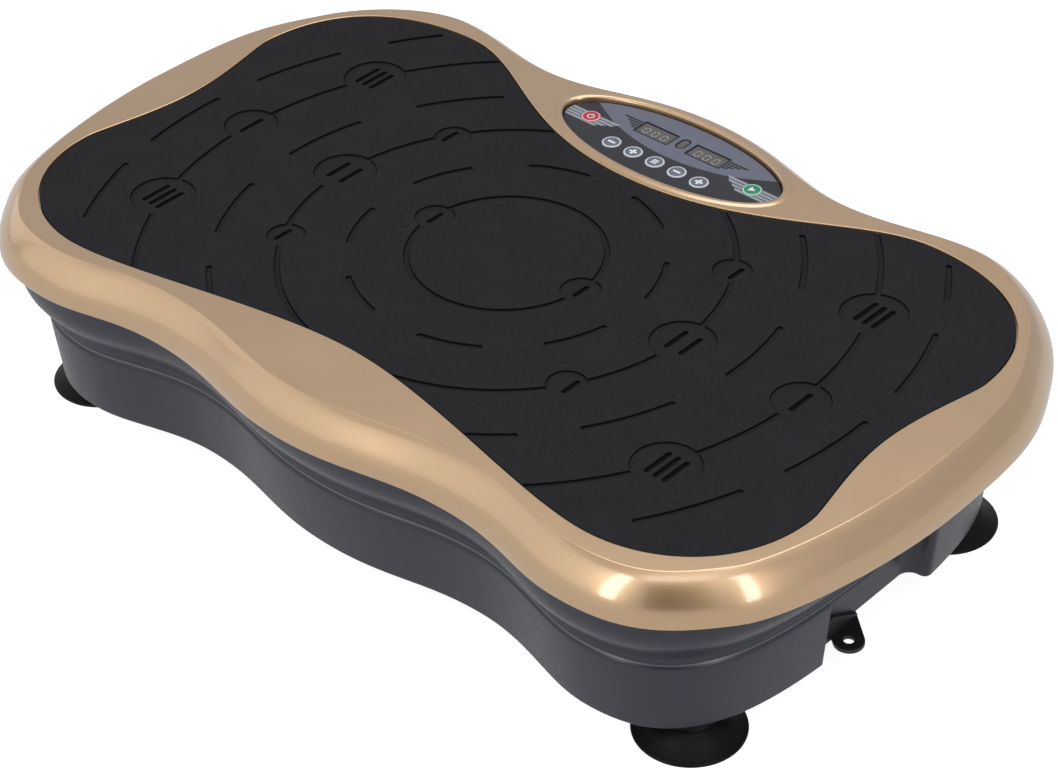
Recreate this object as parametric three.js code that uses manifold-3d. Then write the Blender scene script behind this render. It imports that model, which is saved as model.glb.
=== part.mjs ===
// Oscillating vibration plate: a see-saw deck on a floor-standing base.
// Millimetres, +Z up, +X to the right seen from the front, +Y towards the control panel.
// The floor is z = 0 and the object is centred over the origin.
import * as THREE from 'three';
import { mergeVertices } from 'three/addons/utils/BufferGeometryUtils.js';
import Module from 'manifold-3d';

const wasm = await Module();
wasm.setup();

// ---- driving dimensions -------------------------------------------------
const GAP = 0.3; // air between pieces that touch on the real object
const WALL = 3; // moulded shell thickness

const DECK_TOP = 149; // flat gold surface round the mat
const LIP_BOTTOM = 120.5; // lower edge of the gold shell
const LIP_LENGTH = 674; // overall length
const LIP_FRONT = 197; // shell edge in front of the ring centre
const LIP_BACK = 213; // shell edge behind it, past the control panel
const COVER_UNDERSIDE = 142;
const MAT_FLOOR = 145;
const MAT_TOP = 148.4;

const BASE_BOTTOM = 20.5;
const BASE_TOP = 130; // upper edge of the base, hidden in the shell
const LEDGE = 72; // step between lower wall and upper band
const BASE_CENTRE_Y = -4;
const BASE_HALF_LENGTH = 294.5;
const CHASSIS_BOTTOM = BASE_BOTTOM + WALL + GAP;
const CHASSIS_TOP = CHASSIS_BOTTOM + 3;
const ON_CHASSIS = CHASSIS_TOP + GAP;

const FOOT_X = 254;
const FOOT_Y = 122; // from the base centre
const FOOT_R = 34;

const NOTCH_X = 278.5; // inner wall of the hand grip at each end
const NOTCH_HALF = 50;
const NOTCH_TOP = 70;
const NOTCH_FILLET = 13;

const PIVOT_Z = 118; // axis of the see-saw
const PIVOT_R = 8;
const FRAME_BOTTOM = 138.9;
const FRAME_TOP = COVER_UNDERSIDE - GAP;

const CRANK_X = 117; // lever arm from the pivot to the eccentric drive
const CRANK_Z = 64;
const THROW = 3; // eccentric throw: 3 / 117 gives a tilt of about 1.4 degrees
const SHAFT_R = 8;
const ECCENTRIC_R = 14;
const ROD_PIN_Z = 112;
const ROD_PIN_R = 5;
const ROD_EYE_R = 12.5; // wide enough that the rod never meets the pin in a turn of the crank

const MOTOR_X = -75;
const MOTOR_R = 33;
const MOTOR_SHAFT_R = 5;
const BELT_Y = -63;
const BELT_WIDTH = 14;
const DRIVEN_R = 32;
const DRIVER_R = 12.8; // a 2.5 to 1 belt reduction

const PANEL_Y = 155; // centre of the oval control panel
const PANEL_A = 88;
const PANEL_B = 35;
const PANEL_TOP = 146;
const PANEL_BOTTOM = 143;
const RIM_WIDTH = 3.5; // raised rim of the shell round the panel
const RIM_HEIGHT = 0.8;
const KEY_R = 6.5;
const KEY_PITCH = 18.4;
const KEY_ROW_Y = 139.7;
const SIDE_KEY_X = 68;
const SIDE_KEY_Y = 154.7;
const DISPLAY = { x: 21.75, y: 166.8, width: 28.5, depth: 13.7 };
const LENS = { y: 168, width: 7, depth: 12 };

const INLET_Z = 47; // centre height of the power panel on the back wall
const INLET_FACE_Y = 162.2;

const OUTLINE_STEPS = 64; // vertices round a full outline
const ROUND = 18; // segments of a round piece
const SMALL_ROUND = 14;
const LARGE_ROUND = 24;
const OVAL_STEPS = 15; // half the vertices round the oval panel

// ---- colours --------------------------------------------------------------
const finish = (color, roughness, metalness) => ({ color, roughness, metalness });
const GOLD = finish(0xc0a074, 0.34, 0.75);
const RUBBER = finish(0x1b1b1e, 0.85, 0);
const GREY_PLASTIC = finish(0x41424a, 0.5, 0);
const BLACK_PLASTIC = finish(0x1a1b1e, 0.5, 0);
const PANEL_FILM = finish(0x7a8392, 0.35, 0);
const DISPLAY_GLASS = finish(0x4a4b4d, 0.2, 0);
const KEY_GREY = finish(0xaeb2ba, 0.45, 0);
const KEY_RED = finish(0xc23a42, 0.4, 0);
const KEY_GREEN = finish(0x2c8a62, 0.4, 0);
const STEEL = finish(0x9a9da2, 0.4, 0.9);
const BLACK_STEEL = finish(0x1d1f22, 0.45, 0.6);
const ALUMINIUM = finish(0xb8bbc0, 0.45, 0.9);
const BRONZE = finish(0xa97c42, 0.4, 0.9);
const BOARD = finish(0x1f5a3a, 0.6, 0);

// ---- geometry helpers -------------------------------------------------------
// A geometry with shared vertices, no collapsed triangles and its faces out.
function closed(geometry) {
  const bare = geometry.clone();
  bare.deleteAttribute('normal');
  bare.deleteAttribute('uv');
  const merged = mergeVertices(bare, 1e-3);
  const position = merged.attributes.position;
  const kept = [];
  let volume = 0;
  const corner = [new THREE.Vector3(), new THREE.Vector3(), new THREE.Vector3()];
  for (let i = 0; i < merged.index.count; i += 3) {
    const [a, b, c] = [0, 1, 2].map((k) => merged.index.getX(i + k));
    if (a === b || b === c || c === a) continue;
    kept.push(a, b, c);
    [a, b, c].forEach((index, k) => corner[k].fromBufferAttribute(position, index));
    volume += corner[0].dot(corner[1].cross(corner[2]));
  }
  if (volume < 0) {
    for (let i = 0; i < kept.length; i += 3) [kept[i + 1], kept[i + 2]] = [kept[i + 2], kept[i + 1]];
  }
  merged.setIndex(kept);
  return merged;
}

function solid(geometry) {
  const mesh = closed(geometry);
  return new wasm.Manifold(new wasm.Mesh({
    numProp: 3,
    vertProperties: Float32Array.from(mesh.attributes.position.array),
    triVerts: Uint32Array.from(mesh.index.array),
  }));
}

function geometryOf(manifold) {
  const mesh = manifold.getMesh();
  const geometry = new THREE.BufferGeometry();
  geometry.setAttribute('position', new THREE.BufferAttribute(mesh.vertProperties, 3));
  geometry.setIndex(new THREE.BufferAttribute(mesh.triVerts, 1));
  return geometry;
}

const join = (...geometries) => geometryOf(
  geometries.map(solid).reduce((all, next) => all.add(next)),
);
const cut = (body, ...tools) => geometryOf(
  tools.map(solid).reduce((left, tool) => left.subtract(tool), solid(body)),
);

function box(x0, x1, y0, y1, z0, z1) {
  const geometry = new THREE.BoxGeometry(x1 - x0, y1 - y0, z1 - z0);
  return geometry.translate((x0 + x1) / 2, (y0 + y1) / 2, (z0 + z1) / 2);
}

// A turned piece whose profile points are [radius, height along its axis].
function turnedY(profile, x = 0, z = 0, segments = ROUND) {
  const points = profile.map(([r, y]) => new THREE.Vector2(r, y));
  return new THREE.LatheGeometry(points, segments).translate(x, 0, z);
}

function turnedZ(profile, x = 0, y = 0, segments = ROUND) {
  const points = profile.map(([r, z]) => new THREE.Vector2(r, z));
  return new THREE.LatheGeometry(points, segments).rotateX(Math.PI / 2).translate(x, y, 0);
}

const rod = (radius, start, end) => [[0, start], [radius, start], [radius, end], [0, end]];
const ring = (inner, outer, start, end) => [
  [inner, start], [outer, start], [outer, end], [inner, end], [inner, start],
];
const rodY = (radius, y0, y1, x, z, segments) => turnedY(rod(radius, y0, y1), x, z, segments);
const rodZ = (radius, z0, z1, x, y, segments) => turnedZ(rod(radius, z0, z1), x, y, segments);

// A flat plate: a shape in XY, raised from z0 to z1.
function plate(shape, z0, z1, curveSegments = 12) {
  const options = { depth: z1 - z0, bevelEnabled: false, curveSegments };
  return new THREE.ExtrudeGeometry(shape, options).translate(0, 0, z0);
}

// An upright plate: a shape in XZ, running from y0 to y1.
function uprightPlate(shape, y0, y1, curveSegments = 12) {
  const options = { depth: y1 - y0, bevelEnabled: false, curveSegments };
  return new THREE.ExtrudeGeometry(shape, options).rotateX(Math.PI / 2).translate(0, y1, 0);
}

const polygon = (points) => new THREE.Shape(points.map(([x, y]) => new THREE.Vector2(x, y)));

function ellipse(a, b, x = 0, y = 0) {
  const shape = new THREE.Shape();
  shape.absellipse(x, y, a, b, 0, 2 * Math.PI, false, 0);
  return shape;
}

// ---- outlines ---------------------------------------------------------------
// Half outlines run from the front centre round the right end to the back centre.
// Each node is [x, y, travel direction in degrees, handle before it, handle after it].
const MAT_NODES = [
  [0, -133, 0, 0, 68],
  [211, -167.2, 0, 49, 46],
  [299, -80, 90, 54, 11],
  [287, 0, 90, 34, 34],
  [299, 80, 90, 11, 56],
  [195, 173.5, 180, 67, 52],
  [0, 110.5, 180, 97, 0],
];
const SHELL_NODES = [
  [0, -LIP_FRONT, 0, 0, 50],
  [121, -181, 0, 50, 45],
  [215, -195, 0, 34, 48],
  [305, -147, 52, 39, 27],
  [LIP_LENGTH / 2, 0, 90, 53, 81],
  [308, 139, 118, 49, 36],
  [215, 202.5, 180, 38, 33],
  [125, 190, 180, 32, 39],
  [0, LIP_BACK, 180, 60, 0],
];
const BASE_FRONT_NODES = [
  [0, -162.5, 0, 0, 51],
  [117, -147, 0, 47, 38],
  [210, -164.3, 0, 28, 70],
  [BASE_HALF_LENGTH, 0, 90, 112, 112],
];
// The base's back half repeats its front half, mirrored.
const BASE_BACK_NODES = BASE_FRONT_NODES.slice(0, -1).reverse().map(
  ([x, y, , before, after]) => [x, -y, 180, after, before],
);
const BASE_NODES = [...BASE_FRONT_NODES, ...BASE_BACK_NODES];

function handle([x, y, degrees, before, after], side) {
  const angle = THREE.MathUtils.degToRad(degrees);
  const length = side === 'after' ? after : -before;
  return new THREE.Vector2(x + length * Math.cos(angle), y + length * Math.sin(angle));
}

function outline(nodes, centreY = 0) {
  const path = new THREE.CurvePath();
  for (let i = 1; i < nodes.length; i += 1) {
    const [from, to] = [nodes[i - 1], nodes[i]];
    path.add(new THREE.CubicBezierCurve(
      new THREE.Vector2(from[0], from[1]),
      handle(from, 'after'),
      handle(to, 'before'),
      new THREE.Vector2(to[0], to[1]),
    ));
  }
  const right = path.getSpacedPoints(OUTLINE_STEPS / 2);
  const left = right.slice(1, -1).reverse().map((p) => new THREE.Vector2(-p.x, p.y));
  return [...right, ...left].map((p) => new THREE.Vector2(p.x, p.y + centreY));
}

// The outline moved outwards by a distance, vertex by vertex.
function offset(points, distance) {
  return points.map((point, i) => {
    const before = points[(i + points.length - 1) % points.length];
    const after = points[(i + 1) % points.length];
    const along = after.clone().sub(before).normalize();
    return new THREE.Vector2(point.x + along.y * distance, point.y - along.x * distance);
  });
}

// A closed solid through offset copies of one outline, from [height, offset] rings.
function loft(points, rings) {
  const count = points.length;
  const position = [];
  const index = [];
  for (const [z, distance] of rings) {
    for (const p of offset(points, distance)) position.push(p.x, p.y, z);
  }
  for (let r = 0; r < rings.length - 1; r += 1) {
    for (let i = 0; i < count; i += 1) {
      const [a, b] = [r * count + i, r * count + ((i + 1) % count)];
      index.push(a, b, b + count, a, b + count, a + count);
    }
  }
  const top = (rings.length - 1) * count;
  const cap = (ringIndex) => THREE.ShapeUtils.triangulateShape(
    offset(points, rings[ringIndex][1]), [],
  );
  for (const [a, b, c] of cap(0)) index.push(a, c, b);
  for (const [a, b, c] of cap(rings.length - 1)) index.push(top + a, top + b, top + c);
  const geometry = new THREE.BufferGeometry();
  geometry.setAttribute('position', new THREE.Float32BufferAttribute(position, 3));
  geometry.setIndex(index);
  return geometry;
}

const matOutline = outline(MAT_NODES);
const shellOutline = outline(SHELL_NODES);
const baseOutline = outline(BASE_NODES, BASE_CENTRE_Y);

// ---- deck: shell, mat and frame --------------------------------------------
// A plate that follows the oval panel's edge, larger by a margin or smaller if it is negative.
function panelOval(margin, z0, z1, steps = OVAL_STEPS) {
  return plate(ellipse(PANEL_A + margin, PANEL_B + margin, 0, PANEL_Y), z0, z1, steps);
}

function topCover() {
  const outside = loft(shellOutline, [
    [LIP_BOTTOM, 0], [125, 0], [131, -0.8], [136.5, -2.8],
    [141.5, -6], [145.6, -10.2], [DECK_TOP, -15.5],
  ]);
  const inside = loft(shellOutline, [
    [LIP_BOTTOM - 1, -WALL], [130, -WALL - 0.6], [137, -WALL - 3.5], [COVER_UNDERSIDE, -WALL - 9],
  ]);
  const matRecess = loft(matOutline, [[MAT_FLOOR, 0.5], [DECK_TOP + 1, 0.5]]);
  const panelHole = panelOval(0, COVER_UNDERSIDE - 1, DECK_TOP + 2);
  const rim = panelOval(RIM_WIDTH, COVER_UNDERSIDE + 1, DECK_TOP + RIM_HEIGHT);
  return cut(join(cut(outside, inside, matRecess), rim), panelHole);
}

function standingMat() {
  return loft(matOutline, [[MAT_FLOOR + GAP, -0.3], [MAT_TOP - 0.6, -0.3], [MAT_TOP, -0.9]]);
}

// An upright lug under the frame plate, with a round end about an axis along Y.
function frameLug({ x, y, z, halfWidth, halfThickness, endR }) {
  const [y0, y1] = [y - halfThickness, y + halfThickness];
  return join(
    box(x - halfWidth, x + halfWidth, y0, y1, z, FRAME_BOTTOM + 1),
    rodY(endR, y0, y1, x, z),
  );
}

// Frame plate with two rails, the pivot lugs and the cheeks that hold the rod pin.
function deckFrame() {
  const RAIL = { y: 64, halfLength: 250, halfWidth: 6, bottom: 126 };
  const rails = [-RAIL.y, RAIL.y].map((y) => box(
    -RAIL.halfLength, RAIL.halfLength, y - RAIL.halfWidth, y + RAIL.halfWidth,
    RAIL.bottom, FRAME_BOTTOM + 1,
  ));
  const lugs = [-80, 80].map((y) => frameLug({
    x: 0, y, z: PIVOT_Z, halfWidth: 20, halfThickness: 4, endR: 14,
  }));
  const cheeks = [-12, 12].map((y) => frameLug({
    x: CRANK_X, y, z: ROD_PIN_Z, halfWidth: 13, halfThickness: 2, endR: 11,
  }));
  const sheetInset = -12;
  const sheet = loft(matOutline, [[FRAME_BOTTOM, sheetInset], [FRAME_TOP, sheetInset]]);
  const frame = join(sheet, ...rails, ...lugs, ...cheeks);
  return cut(
    frame,
    rodY(PIVOT_R + GAP, -90, 90, 0, PIVOT_Z),
    rodY(ROD_PIN_R + GAP, -20, 20, CRANK_X, ROD_PIN_Z),
  );
}

// ---- deck: control panel -------------------------------------------------------
const KEYS = {
  time_minus: [-2 * KEY_PITCH, KEY_ROW_Y],
  time_plus: [-KEY_PITCH, KEY_ROW_Y],
  program: [0, KEY_ROW_Y],
  speed_minus: [KEY_PITCH, KEY_ROW_Y],
  speed_plus: [2 * KEY_PITCH, KEY_ROW_Y],
  power: [-SIDE_KEY_X, SIDE_KEY_Y],
  start: [SIDE_KEY_X, SIDE_KEY_Y],
};
const TRAY = { bottom: 134, floor: 136, flangeBottom: 139, flangeWidth: 5, wall: 2.5 };
const BOARD_BOTTOM = TRAY.floor + GAP;
const BOARD_TOP = BOARD_BOTTOM + 1.6;
const FILM_INSET = 0.4; // air between the panel plate's edge and the shell

function displayWindow(side, margin, z0, z1) {
  const { x, y, width, depth } = DISPLAY;
  const [halfWidth, halfDepth] = [width / 2 + margin, depth / 2 + margin];
  return box(side * x - halfWidth, side * x + halfWidth, y - halfDepth, y + halfDepth, z0, z1);
}

function lensWindow(margin, z0, z1) {
  const radius = LENS.width / 2 + margin;
  const reach = (LENS.depth - LENS.width) / 2;
  const shape = new THREE.Shape();
  shape.absarc(0, LENS.y + reach, radius, 0, Math.PI, false);
  shape.absarc(0, LENS.y - reach, radius, Math.PI, 2 * Math.PI, false);
  return plate(shape, z0, z1, 8);
}

function panelPlate() {
  const [bottom, top] = [PANEL_BOTTOM, PANEL_TOP];
  const keyHoles = Object.values(KEYS).map(
    ([x, y]) => rodZ(KEY_R + GAP, bottom - 1, top + 1, x, y, SMALL_ROUND),
  );
  return cut(
    panelOval(-FILM_INSET, bottom, top),
    displayWindow(-1, GAP, bottom - 1, top + 1),
    displayWindow(1, GAP, bottom - 1, top + 1),
    lensWindow(GAP, bottom - 1, top + 1),
    ...keyHoles,
  );
}

function panelTray() {
  const flange = panelOval(TRAY.flangeWidth, TRAY.flangeBottom, FRAME_TOP);
  const wall = panelOval(-FILM_INSET, TRAY.bottom, PANEL_BOTTOM - GAP);
  const hollow = panelOval(-TRAY.wall, TRAY.floor, PANEL_TOP);
  return cut(join(flange, wall), hollow);
}

const displayBoard = () => panelOval(-6, BOARD_BOTTOM, BOARD_TOP, OVAL_STEPS - 3);

function panelKey([x, y]) {
  const stemR = 2.2;
  const [stemBottom, capBottom, capTop] = [BOARD_TOP + 1, PANEL_TOP - 2.6, PANEL_TOP + 0.4];
  return turnedZ([
    [0, stemBottom], [stemR, stemBottom], [stemR, capBottom], [KEY_R, capBottom],
    [KEY_R, capTop - 0.4], [KEY_R - 0.5, capTop], [0, capTop],
  ], x, y, SMALL_ROUND);
}

// ---- base: shell, chassis and feet ----------------------------------------------
const footPlaces = [
  ['front_left', -1, -1], ['front_right', 1, -1], ['back_left', -1, 1], ['back_right', 1, 1],
].map(([name, sx, sy]) => ({
  name,
  x: sx * FOOT_X,
  y: BASE_CENTRE_Y + sy * FOOT_Y,
  towerX: sx * 235,
  towerY: BASE_CENTRE_Y + sy * 88,
}));
const TOWER_R = 15;
const TOWER_TOP = 100;
const STUD_R = 4;

// The space of one hand grip; margin grows it on every side but the outer one.
function notch(side, margin) {
  const outer = BASE_HALF_LENGTH + 20;
  const [inner, half] = [NOTCH_X - margin, NOTCH_HALF + margin];
  const shape = new THREE.Shape();
  shape.moveTo(outer, -half);
  shape.lineTo(outer, half);
  shape.lineTo(inner + NOTCH_FILLET, half);
  shape.absarc(inner + NOTCH_FILLET, half - NOTCH_FILLET, NOTCH_FILLET, Math.PI / 2, Math.PI, false);
  shape.absarc(inner + NOTCH_FILLET, -half + NOTCH_FILLET, NOTCH_FILLET, Math.PI, 1.5 * Math.PI, false);
  const space = plate(shape, BASE_BOTTOM - 1 - margin, NOTCH_TOP + margin, 5);
  if (side < 0) space.rotateZ(Math.PI);
  return space.translate(0, BASE_CENTRE_Y, 0);
}

// The band above the ledge flares outwards under the shell, as [height, offset] rings.
const BAND = [[LEDGE + 5, 3.2], [LEDGE + 12, 7.9], [LEDGE + 22, 15.8], [LEDGE + 32, 18.6], [BASE_TOP, 19]];

function baseHousing() {
  const outside = loft(baseOutline, [
    [BASE_BOTTOM, -1.6], [BASE_BOTTOM + 1.6, 0], [LEDGE - 2.6, 4.2], [LEDGE, 2.4], ...BAND,
  ]);
  const inside = loft(baseOutline, [
    [BASE_BOTTOM + WALL, -WALL], [LEDGE - 5, 0.6],
    ...BAND.map(([z, distance]) => [z, distance - WALL - 0.8]),
    [BASE_TOP + 1, BAND.at(-1)[1] - WALL - 0.8],
  ]);
  const hollow = cut(inside, notch(1, WALL), notch(-1, WALL));
  const [padHalfHeight, holeHalfHeight] = [19, 14];
  const inletPad = box(-44, 44, 146, INLET_FACE_Y, INLET_Z - padHalfHeight, INLET_Z + padHalfHeight);
  const inletHole = box(-38, 38, 140, 170, INLET_Z - holeHalfHeight, INLET_Z + holeHalfHeight);
  const towers = footPlaces.map(
    ({ towerX, towerY }) => rodZ(TOWER_R, BASE_BOTTOM + 1, TOWER_TOP, towerX, towerY, SMALL_ROUND),
  );
  const studHoles = footPlaces.map(
    ({ x, y }) => rodZ(STUD_R + 0.6, BASE_BOTTOM - 1, CHASSIS_TOP, x, y, SMALL_ROUND),
  );
  const shell = cut(outside, notch(1, 0), notch(-1, 0), hollow);
  return cut(join(shell, inletPad, ...towers), inletHole, ...studHoles);
}

function chassisPlate() {
  const holes = footPlaces.flatMap(({ x, y, towerX, towerY }) => [
    rodZ(STUD_R + 0.6, CHASSIS_BOTTOM - 1, CHASSIS_TOP + 1, x, y, SMALL_ROUND),
    rodZ(TOWER_R + 1, CHASSIS_BOTTOM - 1, CHASSIS_TOP + 1, towerX, towerY, SMALL_ROUND),
  ]);
  const sheet = loft(baseOutline, [[CHASSIS_BOTTOM, -16], [CHASSIS_TOP, -16]]);
  return cut(sheet, notch(1, WALL + 1), notch(-1, WALL + 1), ...holes);
}

function stopBuffer({ towerX, towerY }) {
  const [bottom, top] = [TOWER_TOP + GAP, 130.6];
  return turnedZ([
    [0, bottom], [13, bottom], [13, bottom + 5], [9, bottom + 10],
    [9, top - 8], [11, top - 3], [9.5, top], [0, top],
  ], towerX, towerY, SMALL_ROUND);
}

function suctionFoot({ x, y }) {
  const collarTop = BASE_BOTTOM - GAP;
  const bore = STUD_R + GAP;
  return turnedZ([
    [0, 5.5], [14, 4.5], [26, 1.8], [30, 0], [FOOT_R, 0], [FOOT_R, 1.4], [31, 3.2],
    [24, 8.5], [17, 13], [16, 15.2], [13.5, 16], [13.5, collarTop], [bore, collarTop],
    [bore, 9], [0, 9],
  ], x, y, LARGE_ROUND);
}

function footStud({ x, y }) {
  const [nutR, nutTop] = [8, ON_CHASSIS + 5.5];
  const nut = rodZ(nutR, ON_CHASSIS, nutTop, x, y, 6);
  return join(rodZ(STUD_R, 9.3, nutTop + 4, x, y, 12), nut);
}

// Steel tab with an eyelet for a pull band, bolted under the floor of the base. Its upstand
// rests against the inner wall of the hand grip, and slopes down towards the back.
const EYELET = { x: 290.4, y: -26.3, degrees: -40, halfWidth: 9.5, holeR: 3.3, reach: 46 };
const UPSTAND = { thickness: 2.5, front: -40, shoulder: -30, back: -6, top: 34 };
const TAB_THICKNESS = 3;

function bandBracket(side) {
  const { x, y, degrees, halfWidth, holeR, reach } = EYELET;
  const shape = new THREE.Shape();
  shape.absarc(0, 0, halfWidth, -Math.PI / 2, Math.PI / 2, false);
  shape.lineTo(-reach + 4, halfWidth);
  shape.absarc(-reach + 4, halfWidth - 4, 4, Math.PI / 2, Math.PI, false);
  shape.absarc(-reach + 4, -halfWidth + 4, 4, Math.PI, 1.5 * Math.PI, false);
  const eye = new THREE.Path();
  eye.absarc(0, 0, holeR, 0, 2 * Math.PI, false);
  shape.holes.push(eye);
  const top = BASE_BOTTOM - GAP;
  const bottom = top - TAB_THICKNESS;
  const tab = plate(shape, bottom, top, 6);
  tab.rotateZ(THREE.MathUtils.degToRad(degrees)).translate(x, y, 0);
  const { thickness, front, shoulder, back } = UPSTAND;
  const face = NOTCH_X + GAP;
  const profile = polygon([
    [front, bottom], [back, bottom], [back, top + 1], [shoulder, UPSTAND.top], [front, UPSTAND.top],
  ]);
  const upstand = uprightPlate(profile, -face - thickness, -face).rotateZ(Math.PI / 2);
  const bracket = join(tab, upstand);
  return side < 0 ? bracket.scale(-1, 1, 1) : bracket;
}

// ---- base: pivot, motor and eccentric drive ---------------------------------------
// A bearing block: a foot on the chassis that narrows to a round eye.
function bearingBlock({ x, y, z, thickness, footHalf, eyeR, boreR }) {
  const [y0, y1] = [y - thickness / 2, y + thickness / 2];
  const leg = uprightPlate(polygon([
    [x - footHalf, ON_CHASSIS], [x + footHalf, ON_CHASSIS], [x + footHalf, ON_CHASSIS + 8],
    [x + eyeR * 0.96, z], [x - eyeR * 0.96, z], [x - footHalf, ON_CHASSIS + 8],
  ]), y0, y1);
  const body = join(leg, rodY(eyeR, y0, y1, x, z));
  return cut(body, rodY(boreR, y0 - 1, y1 + 1, x, z));
}

const PIVOT_BUSH_R = 11;
const PIVOT_BLOCK_Y = 100;
const SHAFT_BEARING_R = 16;
const SHAFT_BLOCK_Y = 34;

const pivotBlock = (side) => bearingBlock({
  x: 0, y: side * PIVOT_BLOCK_Y, z: PIVOT_Z, thickness: 18, footHalf: 42, eyeR: 16,
  boreR: PIVOT_BUSH_R,
});
const pivotBush = (side) => turnedY(
  ring(PIVOT_R + GAP, PIVOT_BUSH_R - GAP, side * PIVOT_BLOCK_Y - 9, side * PIVOT_BLOCK_Y + 9), 0, PIVOT_Z,
);
const shaftBlock = (side) => bearingBlock({
  x: CRANK_X, y: side * SHAFT_BLOCK_Y, z: CRANK_Z, thickness: 16, footHalf: 36, eyeR: 22,
  boreR: SHAFT_BEARING_R,
});
const shaftBearing = (side) => turnedY(
  ring(SHAFT_R + GAP, SHAFT_BEARING_R - GAP, side * SHAFT_BLOCK_Y - 7, side * SHAFT_BLOCK_Y + 7),
  CRANK_X, CRANK_Z,
);

const crankShaft = () => rodY(SHAFT_R, -76, 46, CRANK_X, CRANK_Z);
const eccentricDisc = () => cut(
  rodY(ECCENTRIC_R, -9, 9, CRANK_X + THROW, CRANK_Z),
  rodY(SHAFT_R + GAP, -10, 10, CRANK_X, CRANK_Z),
);
const rodBearing = () => turnedY(
  ring(ECCENTRIC_R + GAP, ECCENTRIC_R + 4.7, -7, 7), CRANK_X + THROW, CRANK_Z,
);

function connectingRod() {
  const x = CRANK_X + THROW;
  const bigR = ECCENTRIC_R + 5;
  const body = join(
    rodY(bigR + 5, -7, 7, x, CRANK_Z),
    rodY(ROD_EYE_R + 4.5, -7, 7, x, ROD_PIN_Z),
    box(x - 9, x + 9, -5, 5, CRANK_Z, ROD_PIN_Z),
  );
  return cut(body, rodY(bigR, -8, 8, x, CRANK_Z), rodY(ROD_EYE_R, -8, 8, x, ROD_PIN_Z));
}

// A pulley with a side flange each way, bored for its shaft.
function pulley(radius, boreR, flangeR, x) {
  const [inner, outer] = [BELT_WIDTH / 2 + 1, BELT_WIDTH / 2 + 3];
  return turnedY([
    [boreR, -outer], [flangeR, -outer], [flangeR, -inner], [radius, -inner],
    [radius, inner], [flangeR, inner], [flangeR, outer], [boreR, outer], [boreR, -outer],
  ].map(([r, y]) => [r, y + BELT_Y]), x, CRANK_Z, LARGE_ROUND);
}

// An open belt round both pulleys: two arcs joined by their common tangents.
function beltLoop(margin) {
  const lean = Math.asin((DRIVEN_R - DRIVER_R) / (CRANK_X - MOTOR_X));
  const shape = new THREE.Path();
  shape.absarc(CRANK_X, CRANK_Z, DRIVEN_R + margin, -Math.PI / 2 - lean, Math.PI / 2 + lean, false);
  shape.absarc(MOTOR_X, CRANK_Z, DRIVER_R + margin, Math.PI / 2 + lean, 1.5 * Math.PI - lean, false);
  return shape.getPoints(8);
}

function driveBelt() {
  const shape = new THREE.Shape(beltLoop(GAP + 2.2));
  shape.holes.push(new THREE.Path(beltLoop(GAP)));
  return uprightPlate(shape, BELT_Y - BELT_WIDTH / 2, BELT_Y + BELT_WIDTH / 2);
}

const motorHousing = () => turnedY([
  [8, -42], [30, -42], [MOTOR_R, -39], [MOTOR_R, 49], [30, 52], [8, 52],
  [8, 46], [27, 46], [27, -36], [8, -36], [8, -42],
], MOTOR_X, CRANK_Z, LARGE_ROUND);
const motorRotor = () => turnedY([
  [0, -74], [MOTOR_SHAFT_R, -74], [MOTOR_SHAFT_R, -28], [24, -28],
  [24, 38], [MOTOR_SHAFT_R, 38], [MOTOR_SHAFT_R, 60], [0, 60],
], MOTOR_X, CRANK_Z);
const motorBracket = () => cut(
  box(MOTOR_X - 38, MOTOR_X + 38, -30, 40, ON_CHASSIS, 46),
  rodY(MOTOR_R + GAP, -32, 42, MOTOR_X, CRANK_Z, LARGE_ROUND),
);

// Circuit board on four posts, with its transformer, capacitors and heat sink.
function controlBoard() {
  const [boardBottom, boardTop] = [36, 37.6];
  const posts = [[-245, -55], [-245, 47], [-155, -55], [-155, 47]].map(
    ([x, y]) => rodZ(3, ON_CHASSIS, boardBottom + 1, x, y, 10),
  );
  const capacitors = [-20, 0, 20].map((y) => rodZ(7, boardTop - 1, 62, -172, y, 14));
  return join(
    box(-252, -148, -62, 54, boardBottom, boardTop),
    box(-240, -202, -50, -8, boardTop - 1, 66),
    box(-240, -204, 8, 44, boardTop - 1, 58),
    ...posts,
    ...capacitors,
  );
}

// ---- base: power panel ------------------------------------------------------------
const FACE = INLET_FACE_Y + GAP; // back of the flange that covers the wall opening
const SOCKET = { x0: -35, x1: -8, halfHeight: 10 };
const SWITCH = { x0: -2, x1: 14, halfHeight: 11 };
const FUSE = { x: 27, r: 7 };
const ROCKER_PIVOT = { y: FACE - 2, z: INLET_Z };
const ROCKER_REST = THREE.MathUtils.degToRad(-8);

// A box in the power panel, centred on its height, from y0 to y1 behind and past its face.
function panelBox(x0, x1, y0, y1, halfHeight) {
  return box(x0, x1, FACE + y0, FACE + y1, INLET_Z - halfHeight, INLET_Z + halfHeight);
}

function powerPlate() {
  return cut(
    join(panelBox(-41, 41, 0, 2.5, 16.5), panelBox(-37.7, 37.7, -10, 1, 13.7)),
    panelBox(SOCKET.x0, SOCKET.x1, -20, 5, SOCKET.halfHeight),
    panelBox(SWITCH.x0, SWITCH.x1, -20, 5, SWITCH.halfHeight),
    rodY(FUSE.r, FACE - 20, FACE + 5, FUSE.x, INLET_Z, SMALL_ROUND),
  );
}

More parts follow.
